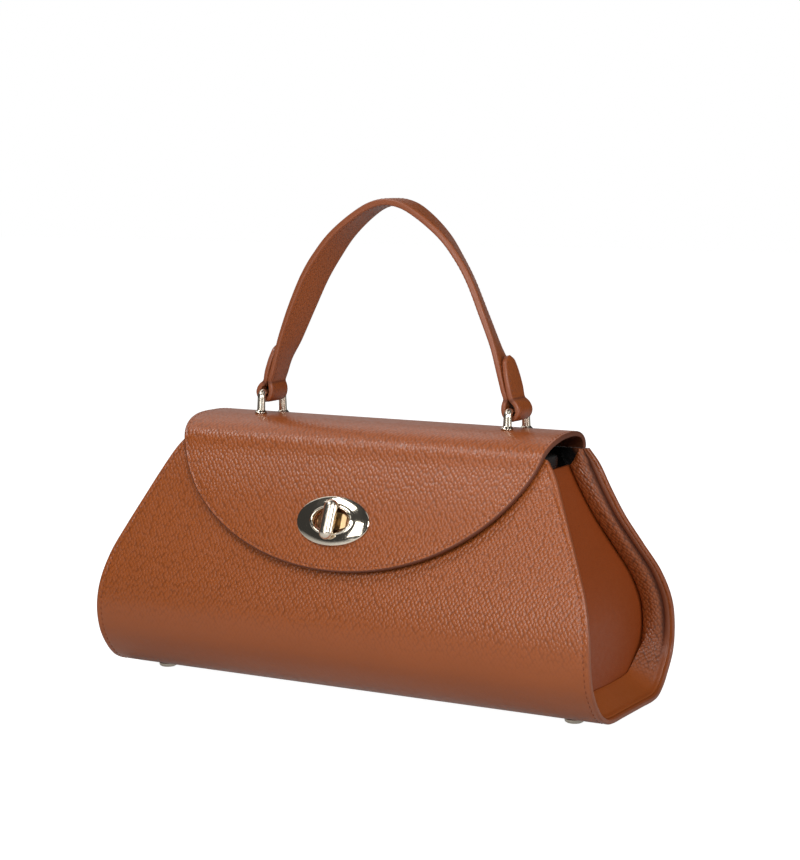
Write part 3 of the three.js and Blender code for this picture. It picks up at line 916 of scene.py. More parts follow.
def leather_material(name, colour, finish):
    """Grained leather with painted edges, a plain inner face, and painted shade where the seam mask is, dull
    there as well.

    The grain and its creases come from the pebble group on the piece's own UV map, and the creases are
    darkened as painted shade. The relief is low on the edges, and both fade with the piece's own mask.
    """
    if name in bpy.data.materials:
        return bpy.data.materials[name]
    colours = bpy.context.scene.handbag_colours
    sizes = bpy.context.scene.handbag_leather
    material, tree, shader = new_material(name, colour)
    place = add_node(tree, "UVMap", uv_map="surface").outputs[0]
    fade, edge, inner, seam = (mask(tree, label) for label in ("grain", "edge", "inner", "seam"))
    grain = add_group(tree, "Pebble grain", {
        "Vector": place, "Width": finish.width * sizes.grain_width,
        "Length": finish.length * sizes.grain_length})
    # The creases' painted shade, faded with the grain's mask
    crease = compute(tree, "MULTIPLY", grain.outputs["Crease"], fade)
    tone = add_group(tree, "Leather tone", {
        "Colour": opaque(colour), "Crease": crease, "Crease Shade": CREASE_SHADE, "Vector": place})
    painted = mixed(tree, edge, tone.outputs[0], colours.paint)
    faced = mixed(tree, inner, painted, colours.lining)
    # The seam mask mixes in painted shade, and makes the leather rougher there
    seam_shaded = mixed(tree, seam, faced, colours.shadow)
    haze = add_group(tree, "Handling haze", {
        "Vector": place, "Smooth": finish.roughness - SMOOTHER, "Rough": finish.roughness + ROUGHER})
    rough = compute(tree, "MULTIPLY_ADD", seam, SEAM_ROUGHNESS, haze.outputs[0])
    relief = compute(tree, "MULTIPLY", remap(tree, edge, (0.0, 1.0), (1.0, EDGE_RELIEF)), fade)
    height = compute(tree, "MULTIPLY", grain.outputs["Height"], relief)
    bump = add_node(tree, "Bump", {
        "Height": height, "Distance": finish.depth * sizes.grain_depth, "Strength": 1.0})
    fill_sockets(tree, shader, {
        "Base Color": seam_shaded, "Roughness": rough, "Normal": bump.outputs[0],
        "Specular IOR Level": finish.specular})
    return material


def pebbled_leather():
    """The tan pebbled leather of the body, the flap and the facings."""
    return leather_material("Tan pebbled leather", bpy.context.scene.handbag_colours.tan, PEBBLED)


def strap_leather():
    """The same leather on the strap, where the grain is finer and pressed flatter."""
    return leather_material("Tan strap leather", bpy.context.scene.handbag_colours.tan, PRESSED)


def smooth_leather():
    """The smooth brown leather of the end panels, with fine pores."""
    return leather_material("Smooth brown leather", bpy.context.scene.handbag_colours.brown, SMOOTH)


def lining_leather():
    """The glossy black lining, with fine pores."""
    return leather_material("Black lining leather", bpy.context.scene.handbag_colours.lining, GLOSSY)


def metal_material(name, colour, smooth, rough):
    """Plated metal whose handling marks make it rougher in places, between the two roughnesses."""
    if name in bpy.data.materials:
        return bpy.data.materials[name]
    material, tree, shader = new_material(name, colour)
    place = add_node(tree, "TexCoord").outputs["Object"]
    haze = add_group(tree, "Handling haze", {"Vector": place, "Smooth": smooth, "Rough": rough})
    fill_sockets(tree, shader, {
        "Base Color": opaque(colour), "Metallic": 1.0, "Roughness": haze.outputs[0]})
    return material


def gold_plate():
    """The polished pale gold of the lock's plate, the collars and the studs."""
    return metal_material("Polished gold plate", bpy.context.scene.handbag_colours.gold, *POLISHED)


def buffed_gold():
    """The pale gold of the toggle's bar and of the wires, whose shine is a little softer."""
    return metal_material("Buffed gold plate", bpy.context.scene.handbag_colours.gold, *BUFFED)


def satin_gold():
    """The satin gold of the wedge and the neck inside the lock."""
    return metal_material("Satin gold plate", bpy.context.scene.handbag_colours.satin, *SATIN)


def shaded_boss_gold():
    """The dull gold of the boss deep inside the lock, coloured dark as painted shade for the shadow in the
    lock's hole.
    """
    return metal_material("Tarnished gold plate", bpy.context.scene.handbag_colours.boss_painted_shade, *DULL_BOSS)


def waxed_thread():
    """Waxed thread: diagonal bands of a wave texture across each stitch stand for the twist of its plies,
    darkened as painted shade.
    """
    name = "Waxed thread"
    if name in bpy.data.materials:
        return bpy.data.materials[name]
    colour = bpy.context.scene.handbag_colours.thread
    material, tree, shader = new_material(name, colour)
    place = add_node(tree, "UVMap", uv_map="surface").outputs[0]
    wave = add_node(tree, "TexWave", {"Vector": place, "Scale": TWIST_SCALE}, bands_direction="DIAGONAL")
    twist = wave.outputs["Fac"]
    tone = add_group(tree, "Leather tone", {
        "Colour": opaque(colour), "Crease": twist, "Crease Shade": TWIST_SHADE, "Vector": place})
    bump = add_node(tree, "Bump", {"Height": twist, "Distance": TWIST_DEPTH * MM})
    fill_sockets(tree, shader, {
        "Base Color": tone.outputs[0], "Roughness": THREAD_ROUGHNESS, "Normal": bump.outputs[0]})
    return material


# Leather shapes

def body_surface():
    """The body's wrap: its closed section across X, carried along the body's line.

    Each section is the band of the body's half width there, and a shallow groove holds the stitching at an
    inset from both side edges.
    """
    places = body_places(BODY_ROWS)
    radius = millimetres("edge_round")
    band = band_section(BODY_WALL, radius, crowded_shares(*BODY_COLUMNS), BODY_INNER_COLUMNS)
    x = band.share * (places.half[:, None] - radius) + band.reach
    from_edge = places.half[:, None] - np.abs(x)
    in_groove = bump_at(from_edge - millimetres("stitch_inset"), SEAM_GROOVE_WIDTH) * (band.depth == 0)
    y, z = inside(places, band.depth + SEAM_GROOVE_DEPTH * in_groove)
    points = np.stack([x, y, z], axis=-1)
    grain = GRAIN_FADED + (1 - GRAIN_FADED) * ease(places.z, GRAIN_FADE_LOW, GRAIN_FADE_HIGH)[:, None]
    return leather(points, section_uv(points, places.along, radius - places.half), edge=band.edge,
                   inner=band.inner * ease(from_edge, *TAN_MARGIN), grain=grain)


def facing_surface(side):
    """The padded strip at one end: a closed section of a valley and a roll, carried along the body's inside.

    The section blends from the plain one on the bottom to the padded one on the upper sides. The distance
    in from the side edge is squeezed where the strip narrows, and the roll swells and shrinks a little along
    its length, as sewn padding does, with short puckers where it ends.
    """
    places = body_places(BODY_ROWS)
    first = FACING_SECTION[0, 0]
    back = np.column_stack([np.linspace(FACING_WIDTH, first, FACING_BACK_COLUMNS),
                            np.full(FACING_BACK_COLUMNS, FACING_BACK_RISE)])[1:-1]
    padded, plain = (np.vstack([even_line(table, FACING_COLUMNS), back])
                     for table in (FACING_SECTION, FACING_BOTTOM_SECTION))
    roll = ease(places.z, FACING_ROLL_LOW, FACING_ROLL_HIGH)[:, None]
    inset, rise = np.moveaxis(plain + (padded - plain) * roll[..., None], -1, 0)
    width = facing_width(places.z)[:, None]
    squeezed = first + (inset - first) * (width - first) / (FACING_WIDTH - first)
    along = places.along[:, None]
    long_wave = np.sin(along / SWELL_LONG + inset / SWELL_ASIDE)
    swell = 1 + SWELL * np.sin(along / SWELL_SHORT) * long_wave
    pucker = np.sin(along / PUCKER_LENGTH + PUCKER_SLANT * inset) * roll * (1 - roll) * 4
    swell += PUCKER * pucker * ease(inset, FACING_VALLEY, PUCKER_INSET)
    y, z = inside(places, BODY_WALL + rise * swell)
    points = np.stack([side * (half_width_at(z) - squeezed), y, z], axis=-1)
    beyond = ease(inset, FACING_VALLEY - 1, FACING_VALLEY + 1)
    grained = ease(places.z, *FACING_GRAIN_FADE)[:, None] * beyond
    # The seam mask paints shade: dark in the valley, and a little over the roll and on the outer band
    valley = FACING_VALLEY_SHADE * bump_at(inset - FACING_VALLEY, FACING_VALLEY_WIDTH) * roll
    outer = (1 - beyond) * roll
    return leather(points, section_uv(points, places.along, 0 * places.along),
                   grain=FACING_GRAIN_LEAST + FACING_GRAIN * grained,
                   seam=np.maximum(valley, FACING_SHADE * grained + FACING_OUTER_SHADE * outer),
                   edge=FACING_OUTER_PAINT * outer)


def gusset_surface(side):
    """The end panel: a wall between the body's front and back inner faces at each height.

    Its border turns inwards by the tuck, as a hump of the distance to the nearest side.
    """
    places = body_places(BODY_ROWS)
    y, z = (values[:, 0] for values in inside(places, np.array([BODY_WALL + CLEAR])))
    bottom = BODY_SECTIONS[0, 0] + BODY_WALL + 2 * CLEAR
    height = bottom + (GUSSET_TOP - bottom) * np.linspace(0, 1, GUSSET_ROWS) ** GUSSET_CROWD
    front, back = y < 0, y > 0
    front_y = np.interp(height, z[front][::-1], y[front][::-1])[:, None]
    back_y = np.interp(height, z[back], y[back])[:, None]
    across = (1 - np.cos(np.linspace(0, np.pi, GUSSET_COLUMNS))) / 2
    wall_y = front_y + (back_y - front_y) * across
    to_side = np.minimum(wall_y - front_y, back_y - wall_y)
    to_side = np.minimum(to_side, height[:, None] - bottom)
    tuck = GUSSET_TUCK * bump_at(to_side, GUSSET_TUCK_WIDTH)
    outer = half_width_at(height)[:, None] - FACING_WIDTH - CLEAR - tuck
    tall = np.broadcast_to(height[:, None], wall_y.shape)
    outside = np.stack([side * outer, wall_y, tall], axis=-1)
    inner = np.stack([side * (outer - GUSSET_WALL), wall_y, tall], axis=-1)
    points = np.concatenate([outside, inner[:, ::-1]], axis=1)
    return leather(points, section_uv(points, height, front_y[:, 0]))


def lining_surface():
    """The lining: a thin sheet along the body's inside, as wide as the room between the gussets."""
    places = body_places(LINING_ROWS)
    kept = places.z < LINING_TOP
    places = Places(*(values[kept] for values in places))
    outer = BODY_WALL + CLEAR
    shares = np.linspace(-1, 1, LINING_COLUMNS)
    y, z = inside(places, np.repeat([outer, outer + LINING_WALL], LINING_COLUMNS))
    narrow = np.minimum(places.half, half_width_at(z[:, -1]))
    half = narrow - facing_width(places.z - LINING_TAPER_LAG) - GUSSET_WALL - 2 * CLEAR
    x = np.concatenate([shares, shares[::-1]]) * half[:, None]
    points = np.stack([x, y, z], axis=-1)
    return leather(points, section_uv(points, places.along, -half))


def lip_surface(side):
    """The black lip behind the end panel's top: a rounded wall that falls in a quarter oval at its back.

    Its rows run from front to back. Each section is a wall with a round crest, as high as the lip is there.
    Above the panel, the lip swings outwards towards its back end.
    """
    y = np.linspace(FLAP_ARCH[0, 0] + 2 * BODY_WALL, LIP_END, LIP_ROWS)
    fall = np.clip((y - LIP_END + LIP_FALL) / LIP_FALL, 0, 1)
    foot = GUSSET_TOP - LIP_DEPTH
    top = foot + (LIP_TOP - foot) * np.sqrt(1 - fall ** 2) + LIP_LEAST
    turn = np.linspace(0, np.pi, LIP_CREST_STEPS)
    radius = np.minimum(LIP_HALF_THICKNESS, (top - foot) / 2)[:, None]
    crest = top[:, None] - radius + radius * np.sin(turn)
    middle = half_width_at(GUSSET_TOP) - FACING_WIDTH - CLEAR - GUSSET_WALL - LIP_HALF_THICKNESS
    x = middle + radius * np.cos(turn)
    low = np.full((LIP_ROWS, 1), foot)
    x = np.concatenate([x[:, :1], x, x[:, -1:]], axis=1)
    z = np.concatenate([low, crest, low], axis=1)
    swing = LIP_SWING * ease(y, LIP_END - LIP_SWING_LENGTH, LIP_END)[:, None] * ease(z, GUSSET_TOP, LIP_TOP)
    points = np.stack([side * (x + swing), np.broadcast_to(y[:, None], x.shape), z], axis=-1)
    return leather(points, section_uv(points, y, 0 * y))


def flap_line():
    """The flap's underside, from its tip on the front, over the mouth, to the seam on the back."""
    places = body_places(BODY_ROWS)
    front = places.y < 0
    heights, lifts = FLAP_FRONT.T
    y, out_y, out_z = (np.interp(heights, places.z[front][::-1], values[front][::-1])
                       for values in (places.y, places.out_y, places.out_z))
    low = np.column_stack([y + out_y * lifts, heights + out_z * lifts])
    line = even_line(np.vstack([low, FLAP_ARCH]), FLAP_LINE_STEPS)
    run = unit(np.gradient(line, axis=0))
    return FlapLine(running_length(line), line[:, 0], line[:, 1], -run[:, 1], run[:, 0])


def on_flap(line, x, along, lift):
    """Points of the flap: a place across, a length along its line from the tip, a lift off its underside."""
    y, z, out_y, out_z = (np.interp(along, line.along, values) for values in line[1:])
    return np.stack([x, y + out_y * lift, z + out_z * lift], axis=-1)


def flap_outline(line):
    """The flap's outline laid flat, from the seam down the left side, round the tip and up the right side.

    The front is half an oval, widest on the top, and the sides run straight to the seam. Returns the
    outline's x and length, the inner point that each outline point is joined to, and the outward direction.
    """
    end = line.along[-1]
    side = np.linspace(end, FLAP_ROUND, FLAP_ROWS_SIDE, endpoint=False)
    half = np.interp(side, [FLAP_ROUND, end], [FLAP_HALF_WIDTH, FLAP_BACK_HALF_WIDTH])
    turn = np.linspace(-np.pi / 2, np.pi / 2, FLAP_ROWS_ROUND)
    x = FLAP_X + np.concatenate([-half, FLAP_HALF_WIDTH * np.sin(turn), half[::-1]])
    along = np.concatenate([side, FLAP_ROUND * (1 - np.cos(turn)), side[::-1]])
    outline = np.column_stack([x, along])
    middle = np.column_stack([np.full_like(x, FLAP_X), np.maximum(along, FLAP_ROUND)])
    run = unit(np.gradient(outline, axis=0))
    return outline, middle, np.column_stack([run[:, 1], -run[:, 0]])


def flap_columns(face, edge, under):
    """Values in order out over the flap's face, round its edge and back along its underside."""
    counts = (FLAP_FACE_COLUMNS, 2 * CORNER_STEPS, FLAP_UNDER_COLUMNS)
    parts = zip((face, edge, under), counts)
    return np.concatenate([np.broadcast_to(values, count) for values, count in parts])


def flap_surface():
    """The flap: lines from its middle to its outline, over a rounded edge and back along the underside.

    Laid flat, a point lies a share of the way from the middle to the outline, and then on the flap's line at
    its lift. A shallow groove holds the stitching at an inset from the edge.
    """
    line = flap_line()
    outline, middle, out = flap_outline(line)
    radius = millimetres("edge_round")
    rim = outline - out * radius
    face = 1 - np.linspace(1, 0, FLAP_FACE_COLUMNS) ** FLAP_CROWD
    band = band_section(FLAP_WALL, radius, face, FLAP_UNDER_COLUMNS)
    edge = slice(FLAP_FACE_COLUMNS, FLAP_FACE_COLUMNS + 2 * CORNER_STEPS)
    share = flap_columns(face, 1.0, np.linspace(1, 0, FLAP_UNDER_COLUMNS))
    reach = flap_columns(0.0, band.reach[edge], 0.0)
    depth = flap_columns(0.0, band.depth[edge], FLAP_WALL)
    flat = middle[:, None] + share[:, None] * (rim - middle)[:, None] + reach[:, None] * out[:, None]
    from_edge = np.linalg.norm(flat - outline[:, None], axis=-1)
    in_groove = bump_at(from_edge - FLAP_STITCH_INSET, SEAM_GROOVE_WIDTH) * (depth == 0)
    lift = FLAP_WALL - depth - FLAP_GROOVE_SHARE * SEAM_GROOVE_DEPTH * in_groove
    # The seam mask paints shade on the flap's down-facing edge
    return leather(on_flap(line, flat[..., 0], flat[..., 1], lift), flat,
                   grain=1 - (1 - FLAP_GRAIN_TOP) * ease(flat[..., 1], *FLAP_GRAIN_FADE),
                   edge=flap_columns(0.0, 1.0, 0.0),
                   inner=flap_columns(0.0, 0.0, FLAP_UNDERSIDE),
                   seam=flap_columns(0.0, FLAP_EDGE_SHADE, 0.0))


def strap_path():
    """The strap's middle line with its width and thickness directions at even lengths, tip to tip.

    The right half comes from the tables and the left half mirrors it, a little higher at its foot. The width
    direction is +Y turned about Z by the twist and squared to the run, and the thickness direction is square
    to both. The strap is wider and thicker up in the arch, and its tips are rounded.
    """
    angle = np.pi * np.arange(LOOP_STEPS + 1) / LOOP_STEPS
    loop = np.column_stack([
        STAPLE_X + np.cos(angle) * LOOP_RADIUS, STAPLE_TOP - np.sin(angle) * LOOP_RADIUS, 0 * angle])
    rest = np.vstack([loop, LIMB_ROUTE])
    growth = ease(rest[:, 1], STRAP_GROWTH_START, STRAP_GROWTH_END)
    rest_half = STRAP_HALF_WIDTH + (STRAP_TOP_HALF_WIDTH - STRAP_HALF_WIDTH) * growth
    rest_wall = STRAP_WALL + (STRAP_TOP_WALL - STRAP_WALL) * growth
    tab = np.column_stack([TAB_ROUTE, np.full(len(TAB_ROUTE), STRAP_WALL)])
    right = np.vstack([tab, np.column_stack([rest, rest_half, rest_wall])])
    left = right[-2::-1] * (-1, 1, -1, 1, 1)
    left[:, 1] += LEFT_LIFT * (1 - ease(left[:, 1], STAPLE_TOP, LEFT_LIFT_END))
    x, height, twist, half, wall = np.vstack([right, left]).T
    lean = STRAP_LEAN * ease(height, STRAP_LEAN_START, height.max())
    middle = np.column_stack([x, STRAP_MIDDLE + lean, height])
    places = even_places(middle, STRAP_ROWS)
    point = curve_at(middle, places)
    twist, half, wall = curve_at(np.column_stack([twist, half, wall]), places, 0.0).T
    run = unit(np.gradient(point, axis=0))
    turn = np.radians(twist)
    across = np.column_stack([-np.sin(turn), np.cos(turn), 0 * turn])
    across = unit(across - run * np.sum(across * run, axis=1, keepdims=True))
    along = running_length(point)
    to_tip = np.clip(np.minimum(along, along[-1] - along) / STRAP_TIP_ROUND, 0, 1)
    half = half * np.sqrt(np.clip(1 - (1 - to_tip) ** 2, STRAP_TIP_LEAST, 1))
    half = half - STRAP_WAIST * bump_at(strap_crease_distance(point), STRAP_WAIST_WIDTH)
    return StrapPath(point, across, np.cross(run, across), half, wall, along)


def strap_crease_distance(point):
    """How far each place of the strap is above or below the crease where the tab meets the loop."""
    raised = LEFT_LIFT * (point[:, 0] < 0)
    return point[:, 2] - STRAP_CREASE - raised


def strap_surface():
    """The strap: a band section with a low crown on both faces, carried along its path."""
    path = strap_path()
    radius = millimetres("edge_round")
    band = band_section(STRAP_WALL, radius, crowded_shares(*STRAP_COLUMNS), STRAP_INNER_COLUMNS)
    across = band.share * np.maximum(path.half[:, None] - radius, STRAP_LEAST_HALF) + band.reach
    level = STRAP_WALL / 2 - band.depth
    crown = STRAP_CROWN * (1 - band.share ** 2) * np.sign(level)
    lift = level * path.wall[:, None] / STRAP_WALL + crown
    aside = across[..., None] * path.across[:, None]
    points = path.point[:, None] + aside + lift[..., None] * path.out[:, None]
    # Painted shade in the crease where the tab meets the loop, through the seam mask
    crease = STRAP_CREASE_SHADE * bump_at(strap_crease_distance(path.point), STRAP_CREASE_WIDTH)[:, None]
    return leather(points, section_uv(points, path.along, -path.half), edge=band.edge, seam=crease)


# Metal shapes

def circle(sides):
    """Angles of a circle's sides."""
    return np.linspace(0, 2 * np.pi, sides, endpoint=False)


def turned_surface(section, sides, shift=(0.0, 0.0)):
    """A section of radius and height turned about an upright line at the shift."""
    angle = circle(sides)[:, None]
    radius, height = section.T
    x = shift[0] + np.cos(angle) * radius
    y = shift[1] + np.sin(angle) * radius
    points = np.stack([x, y, np.broadcast_to(height, x.shape)], axis=-1)
    return points, plain_uv(points)


def on_lock(surface):
    """A surface given in the lock's own frame, put in the bag's frame.

    The lock's place and its outward direction are those of the toggle's joint, and its X is the bag's.
    """
    points, uv = surface
    joint = frame["joints"][0]
    out = unit(np.array(joint["axis"], float))
    across = np.array([1.0, 0.0, 0.0])
    axes = np.stack([across, np.cross(out, across), out])
    return np.array(joint["pos_m"], float) / MM + points @ axes, uv


def oval_ring_surface(inner, outer, section, sides, crest=0.0):
    """A ring between two ovals: each row of the section lies a share of the way from the inner to the outer.

    With a crest, the fall from it is scaled by the ring's breadth there, so the slope is the same all round.
    The section's first row, the foot of the wall, stays down.
    """
    angle = circle(sides)[:, None]
    share, rise = section.T
    span = outer - inner
    breadth = np.hypot(np.cos(angle) * span[0], np.sin(angle) * span[1]) / span[0]
    fall = np.clip(crest - rise, 0, None) * (share > 0) * (np.arange(len(share)) > 0)
    half = inner[:, None] + span[:, None] * share
    raised = rise + fall * (1 - breadth)
    points = np.stack([np.cos(angle) * half[0], np.sin(angle) * half[1], raised], axis=-1)
    return points, plain_uv(points)


def wedge_surface():
    """The wedge in the boss: two flat slopes that meet in a ridge, over a share of the boss's oval.

    Its rise is the ridge's rise less the slope times the distance across from the ridge.
    """
    columns, rows = LOCK_WEDGE_FACES
    start = LOCK_WEDGE_RIDGE - LOCK_WEDGE_LENGTH
    x = np.linspace(start, LOCK_WEDGE_END * BOSS_HALF[0], columns)[:, None]
    reach = LOCK_WEDGE_BREADTH * BOSS_HALF[1] * np.sqrt(1 - (x / BOSS_HALF[0]) ** 2)
    y = reach * np.linspace(-1, 1, rows)
    rise = LOCK_WEDGE_RISE - LOCK_WEDGE_SLOPE * np.abs(x - LOCK_WEDGE_RIDGE) + 0 * y
    top = np.stack([x + 0 * y, y, rise], axis=-1)
    foot = top * (1, 1, 0) - (0, 0, LOCK_WEDGE_FOOT)
    points = np.concatenate([top, foot[:, ::-1]], axis=1)
    return points, plain_uv(points)


def bar_surface(section, sides):
    """A bar with round ends: its outline, inset by the section's first column, at the rise of its second.

    The outline is a straight spine swept by a circle, so an inset of the half width closes on the spine.
    """
    angle = circle(sides)[:, None]
    inset, rise = section.T
    spine = TOGGLE_HALF_LENGTH - TOGGLE_HALF_WIDTH
    radius = TOGGLE_HALF_WIDTH - inset
    x = np.cos(angle) * radius
    y = np.sin(angle) * radius + spine * np.sign(np.sin(angle) + TINY)
    points = np.stack([x, y, np.broadcast_to(rise, x.shape)], axis=-1)
    return points, plain_uv(points)


def wire_surface(side):
    """A staple: a circle carried up one leg, round two bends and down the other leg, in the YZ plane.

    The legs are stouter and a little further apart at their feet. The left staple stands a little higher.
    """
    top = STAPLE_TOP + LEFT_LIFT * (side < 0)
    turn = np.linspace(0, np.pi / 2, WIRE_BEND_STEPS)
    legs = np.linspace(STAPLE_FOOT, top - STAPLE_BEND - STAPLE_BEND_GAP, WIRE_BEND_STEPS)
    up = np.column_stack([np.full(WIRE_BEND_STEPS, -STAPLE_HALF_SPAN), legs, 0 * legs])
    first = np.column_stack([
        STAPLE_BEND - STAPLE_HALF_SPAN - STAPLE_BEND * np.cos(turn),
        top - STAPLE_BEND + STAPLE_BEND * np.sin(turn), turn])
    half = np.vstack([up, first])
    other = half[::-1] * (-1, 1, -1) + (0, 0, np.pi)
    y, z, lean = np.vstack([half, other]).T[..., None]
    low = 1 - ease(z, STAPLE_FOOT, top)
    y = STRAP_MIDDLE + y + np.sign(y) * STAPLE_SPLAY * low
    angle = circle(WIRE_SIDES)
    radius = STAPLE_WIRE + (STAPLE_WIRE_FOOT - STAPLE_WIRE) * low
    outward = radius * np.cos(angle)
    x = side * STAPLE_X + radius * np.sin(angle)
    points = np.stack([x, y - np.cos(lean) * outward, z + np.sin(lean) * outward], axis=-1)
    return points, plain_uv(points)


# Stitches

def stitch_rows(name, rows):
    """Rows of stitches as one mesh: a small spindle at each centre, its ends sunk into the leather.

    A spindle's radius falls from its middle to nothing at its ends as a low power of one minus the square of
    the share of its half length, and its middle line drops by the square of that share.
    """
    centres, along, out = (np.vstack(parts) for parts in zip(*rows))
    share = np.linspace(-1, 1, STITCH_RINGS)[:, None]
    angle = circle(STITCH_SIDES)
    radius = millimetres("stitch_width") / 2 * np.clip(1 - share ** 2, 0, 1) ** STITCH_TAPER
    forward = millimetres("stitch_length") / 2 * share + 0 * angle
    lift = radius * np.sin(angle) - STITCH_SINK * share ** 2
    shape = np.stack([forward, radius * np.cos(angle), lift], axis=-1).reshape(-1, 3)
    axes = np.stack([along, np.cross(out, along), out], axis=1)
    points = centres[:, None] + np.einsum("pk,nkx->npx", shape, axes)
    corners = grid_corners(STITCH_RINGS, STITCH_SIDES, close_columns=True)
    one = grid_faces(corners, STITCH_RINGS, STITCH_SIDES)
    faces = (one + len(shape) * np.arange(len(centres))[:, None, None]).reshape(-1, 4)
    uv = np.stack([shape[one][..., 0], (one % STITCH_SIDES) * STITCH_UV_STEP], axis=-1).reshape(-1, 2)
    return tidy_piece(name, new_mesh(name, points, faces.tolist(), np.tile(uv, (len(centres), 1))))


def along_line(points, normals, spacing):
    """Even places on a line of points: their centres, directions and outward normals."""
    length = running_length(points)
    wanted = np.arange(spacing / 2, length[-1], spacing)
    centre, run, normal = (np.column_stack([np.interp(wanted, length, column) for column in values.T])
                           for values in (points, np.gradient(points, axis=0), normals))
    forward = unit(run)
    return centre, forward, unit(normal - forward * np.sum(normal * forward, axis=1, keepdims=True))


def body_stitches(spacing):
    """A row down each side of the body, in its groove."""
    places = body_places(BODY_ROWS)
    y, z = inside(places, np.array([SEAM_GROOVE_DEPTH - STITCH_RAISED]))
    out = np.column_stack([0 * places.y, places.out_y, places.out_z])
    half = places.half - millimetres("stitch_inset")
    return [along_line(np.column_stack([side * half, y, z]), out, spacing) for side in (-1, 1)]


def flap_stitches(spacing):
    """A row round the flap's edge, and one above the seam with the back."""
    line = flap_line()
    outline, _, out = flap_outline(line)
    reach = FLAP_BACK_HALF_WIDTH - FLAP_SEAM_END
    seam_x = FLAP_X + np.linspace(-reach, reach, FLAP_SEAM_STEPS)
    seam = np.column_stack([seam_x, np.full(FLAP_SEAM_STEPS, line.along[-1] - FLAP_SEAM_INSET)])
    rows = []
    for place in (outline - out * FLAP_STITCH_INSET, seam):
        low, high = (on_flap(line, *place.T, lift) for lift in (FLAP_WALL - STITCH_RAISED, FLAP_WALL + 1))
        rows.append(along_line(low, high - low, spacing))
    return rows


def strap_stitches(spacing):
    """A row along both edges of both faces of the strap, a little closer than the others."""
    path = strap_path()
    kept = path.half > STRAP_STITCH_LEAST_HALF
    rows = []
    for side in (-1, 1):
        for face in (-1, 1):
            aside = side * (path.half - STRAP_STITCH_INSET)[:, None]
            level = face * (path.wall / 2 + STRAP_STITCH_LIFT)[:, None]
            points = path.point + path.across * aside + path.out * level
            rows.append(along_line(points[kept], face * path.out[kept], STRAP_STITCH_SPACING * spacing))
    return rows


# Operators

class HANDBAG_OT_body(bpy.types.Operator):
    """Make the body's leather wrap."""

    bl_idname = "handbag.body"
    bl_label = "Body"

    def execute(self, context):
        add_piece("body_leather", body_surface(), TUBE, pebbled_leather(), "pebbled_leather", "body_shell")
        return {"FINISHED"}


class HANDBAG_OT_facings(bpy.types.Operator):
    """Make the padded strips inside the side edges."""

    bl_idname = "handbag.facings"
    bl_label = "Side facings"

    def execute(self, context):
        for label, side in SIDES:
            piece = add_piece(f"facing_roll_{label}", facing_surface(side), TUBE, pebbled_leather(),
                              "pebbled_leather", f"side_facing_{label}")
        return {"FINISHED"}


class HANDBAG_OT_gussets(bpy.types.Operator):
    """Make the recessed end panels."""

    bl_idname = "handbag.gussets"
    bl_label = "Gussets"

    def execute(self, context):
        for label, side in SIDES:
            add_piece(f"gusset_panel_{label}", gusset_surface(side), TUBE, smooth_leather(),
                      "smooth_leather", f"gusset_{label}")
        return {"FINISHED"}


class HANDBAG_OT_lining(bpy.types.Operator):
    """Make the black lining and its lips."""

    bl_idname = "handbag.lining"
    bl_label = "Lining"

    def execute(self, context):
        add_piece("lining_sheet", lining_surface(), TUBE, lining_leather(), "black_lining", "lining")
        for label, side in SIDES:
            add_piece(f"lining_lip_{label}", lip_surface(side), TUBE, lining_leather(), "black_lining")
        return {"FINISHED"}


class HANDBAG_OT_flap(bpy.types.Operator):
    """Make the domed flap."""

    bl_idname = "handbag.flap"
    bl_label = "Flap"

    def execute(self, context):
        add_piece("flap_leather", flap_surface(), CAPPED, pebbled_leather(), "pebbled_leather", "flap")
        return {"FINISHED"}


class HANDBAG_OT_strap(bpy.types.Operator):
    """Make the handle's strap."""

    bl_idname = "handbag.strap"
    bl_label = "Handle strap"

    def execute(self, context):
        add_piece("strap_leather", strap_surface(), TUBE, strap_leather(), "pebbled_leather", "handle_strap")
        return {"FINISHED"}


class HANDBAG_OT_stitches(bpy.types.Operator):
    """Make the stitching of the body, the flap and the strap."""

    bl_idname = "handbag.stitches"
    bl_label = "Stitching"

    def execute(self, context):
        for name, rows in (("body", body_stitches), ("flap", flap_stitches), ("strap", strap_stitches)):
            piece = stitch_rows(f"stitches_{name}", rows(millimetres("stitch_spacing")))
            finish_piece(piece, waxed_thread(), "pebbled_leather")
        return {"FINISHED"}


class HANDBAG_OT_lock(bpy.types.Operator):
    """Make the turn lock: its plate, its boss with the wedge, and its toggle with the neck."""

    bl_idname = "handbag.lock"
    bl_label = "Turn lock"

    def execute(self, context):
        steps, sides = PLATE_FACES
        section = even_line(PLATE_SECTION, steps)
        plate = oval_ring_surface(PLATE_HOLE, PLATE_HALF, section, sides, PLATE_CREST)
        add_piece("lock_plate_gold", on_lock(plate), RING, gold_plate(), "gold_metal", "lock_plate")
        steps, sides = BOSS_FACES
        boss = oval_ring_surface(np.zeros(2), BOSS_HALF, even_line(BOSS_SECTION, steps), sides)
        # The boss's dark colour is painted shade
        add_piece("lock_boss_gold", on_lock(boss), TURNED, shaded_boss_gold(), "gold_metal", "lock_base")
        add_piece("lock_wedge_gold", on_lock(wedge_surface()), TUBE, satin_gold(), "gold_metal")
        steps, sides = TOGGLE_FACES
        bar = bar_surface(even_line(TOGGLE_SECTION, steps), sides)
        add_piece("lock_toggle_gold", on_lock(bar), TURNED, buffed_gold(), "gold_metal", "lock_toggle",
                  body="toggle")
        neck = turned_surface(NECK_SECTION, NECK_SIDES)
        add_piece("lock_neck_gold", on_lock(neck), TURNED, satin_gold(), "gold_metal", body="toggle")
        return {"FINISHED"}


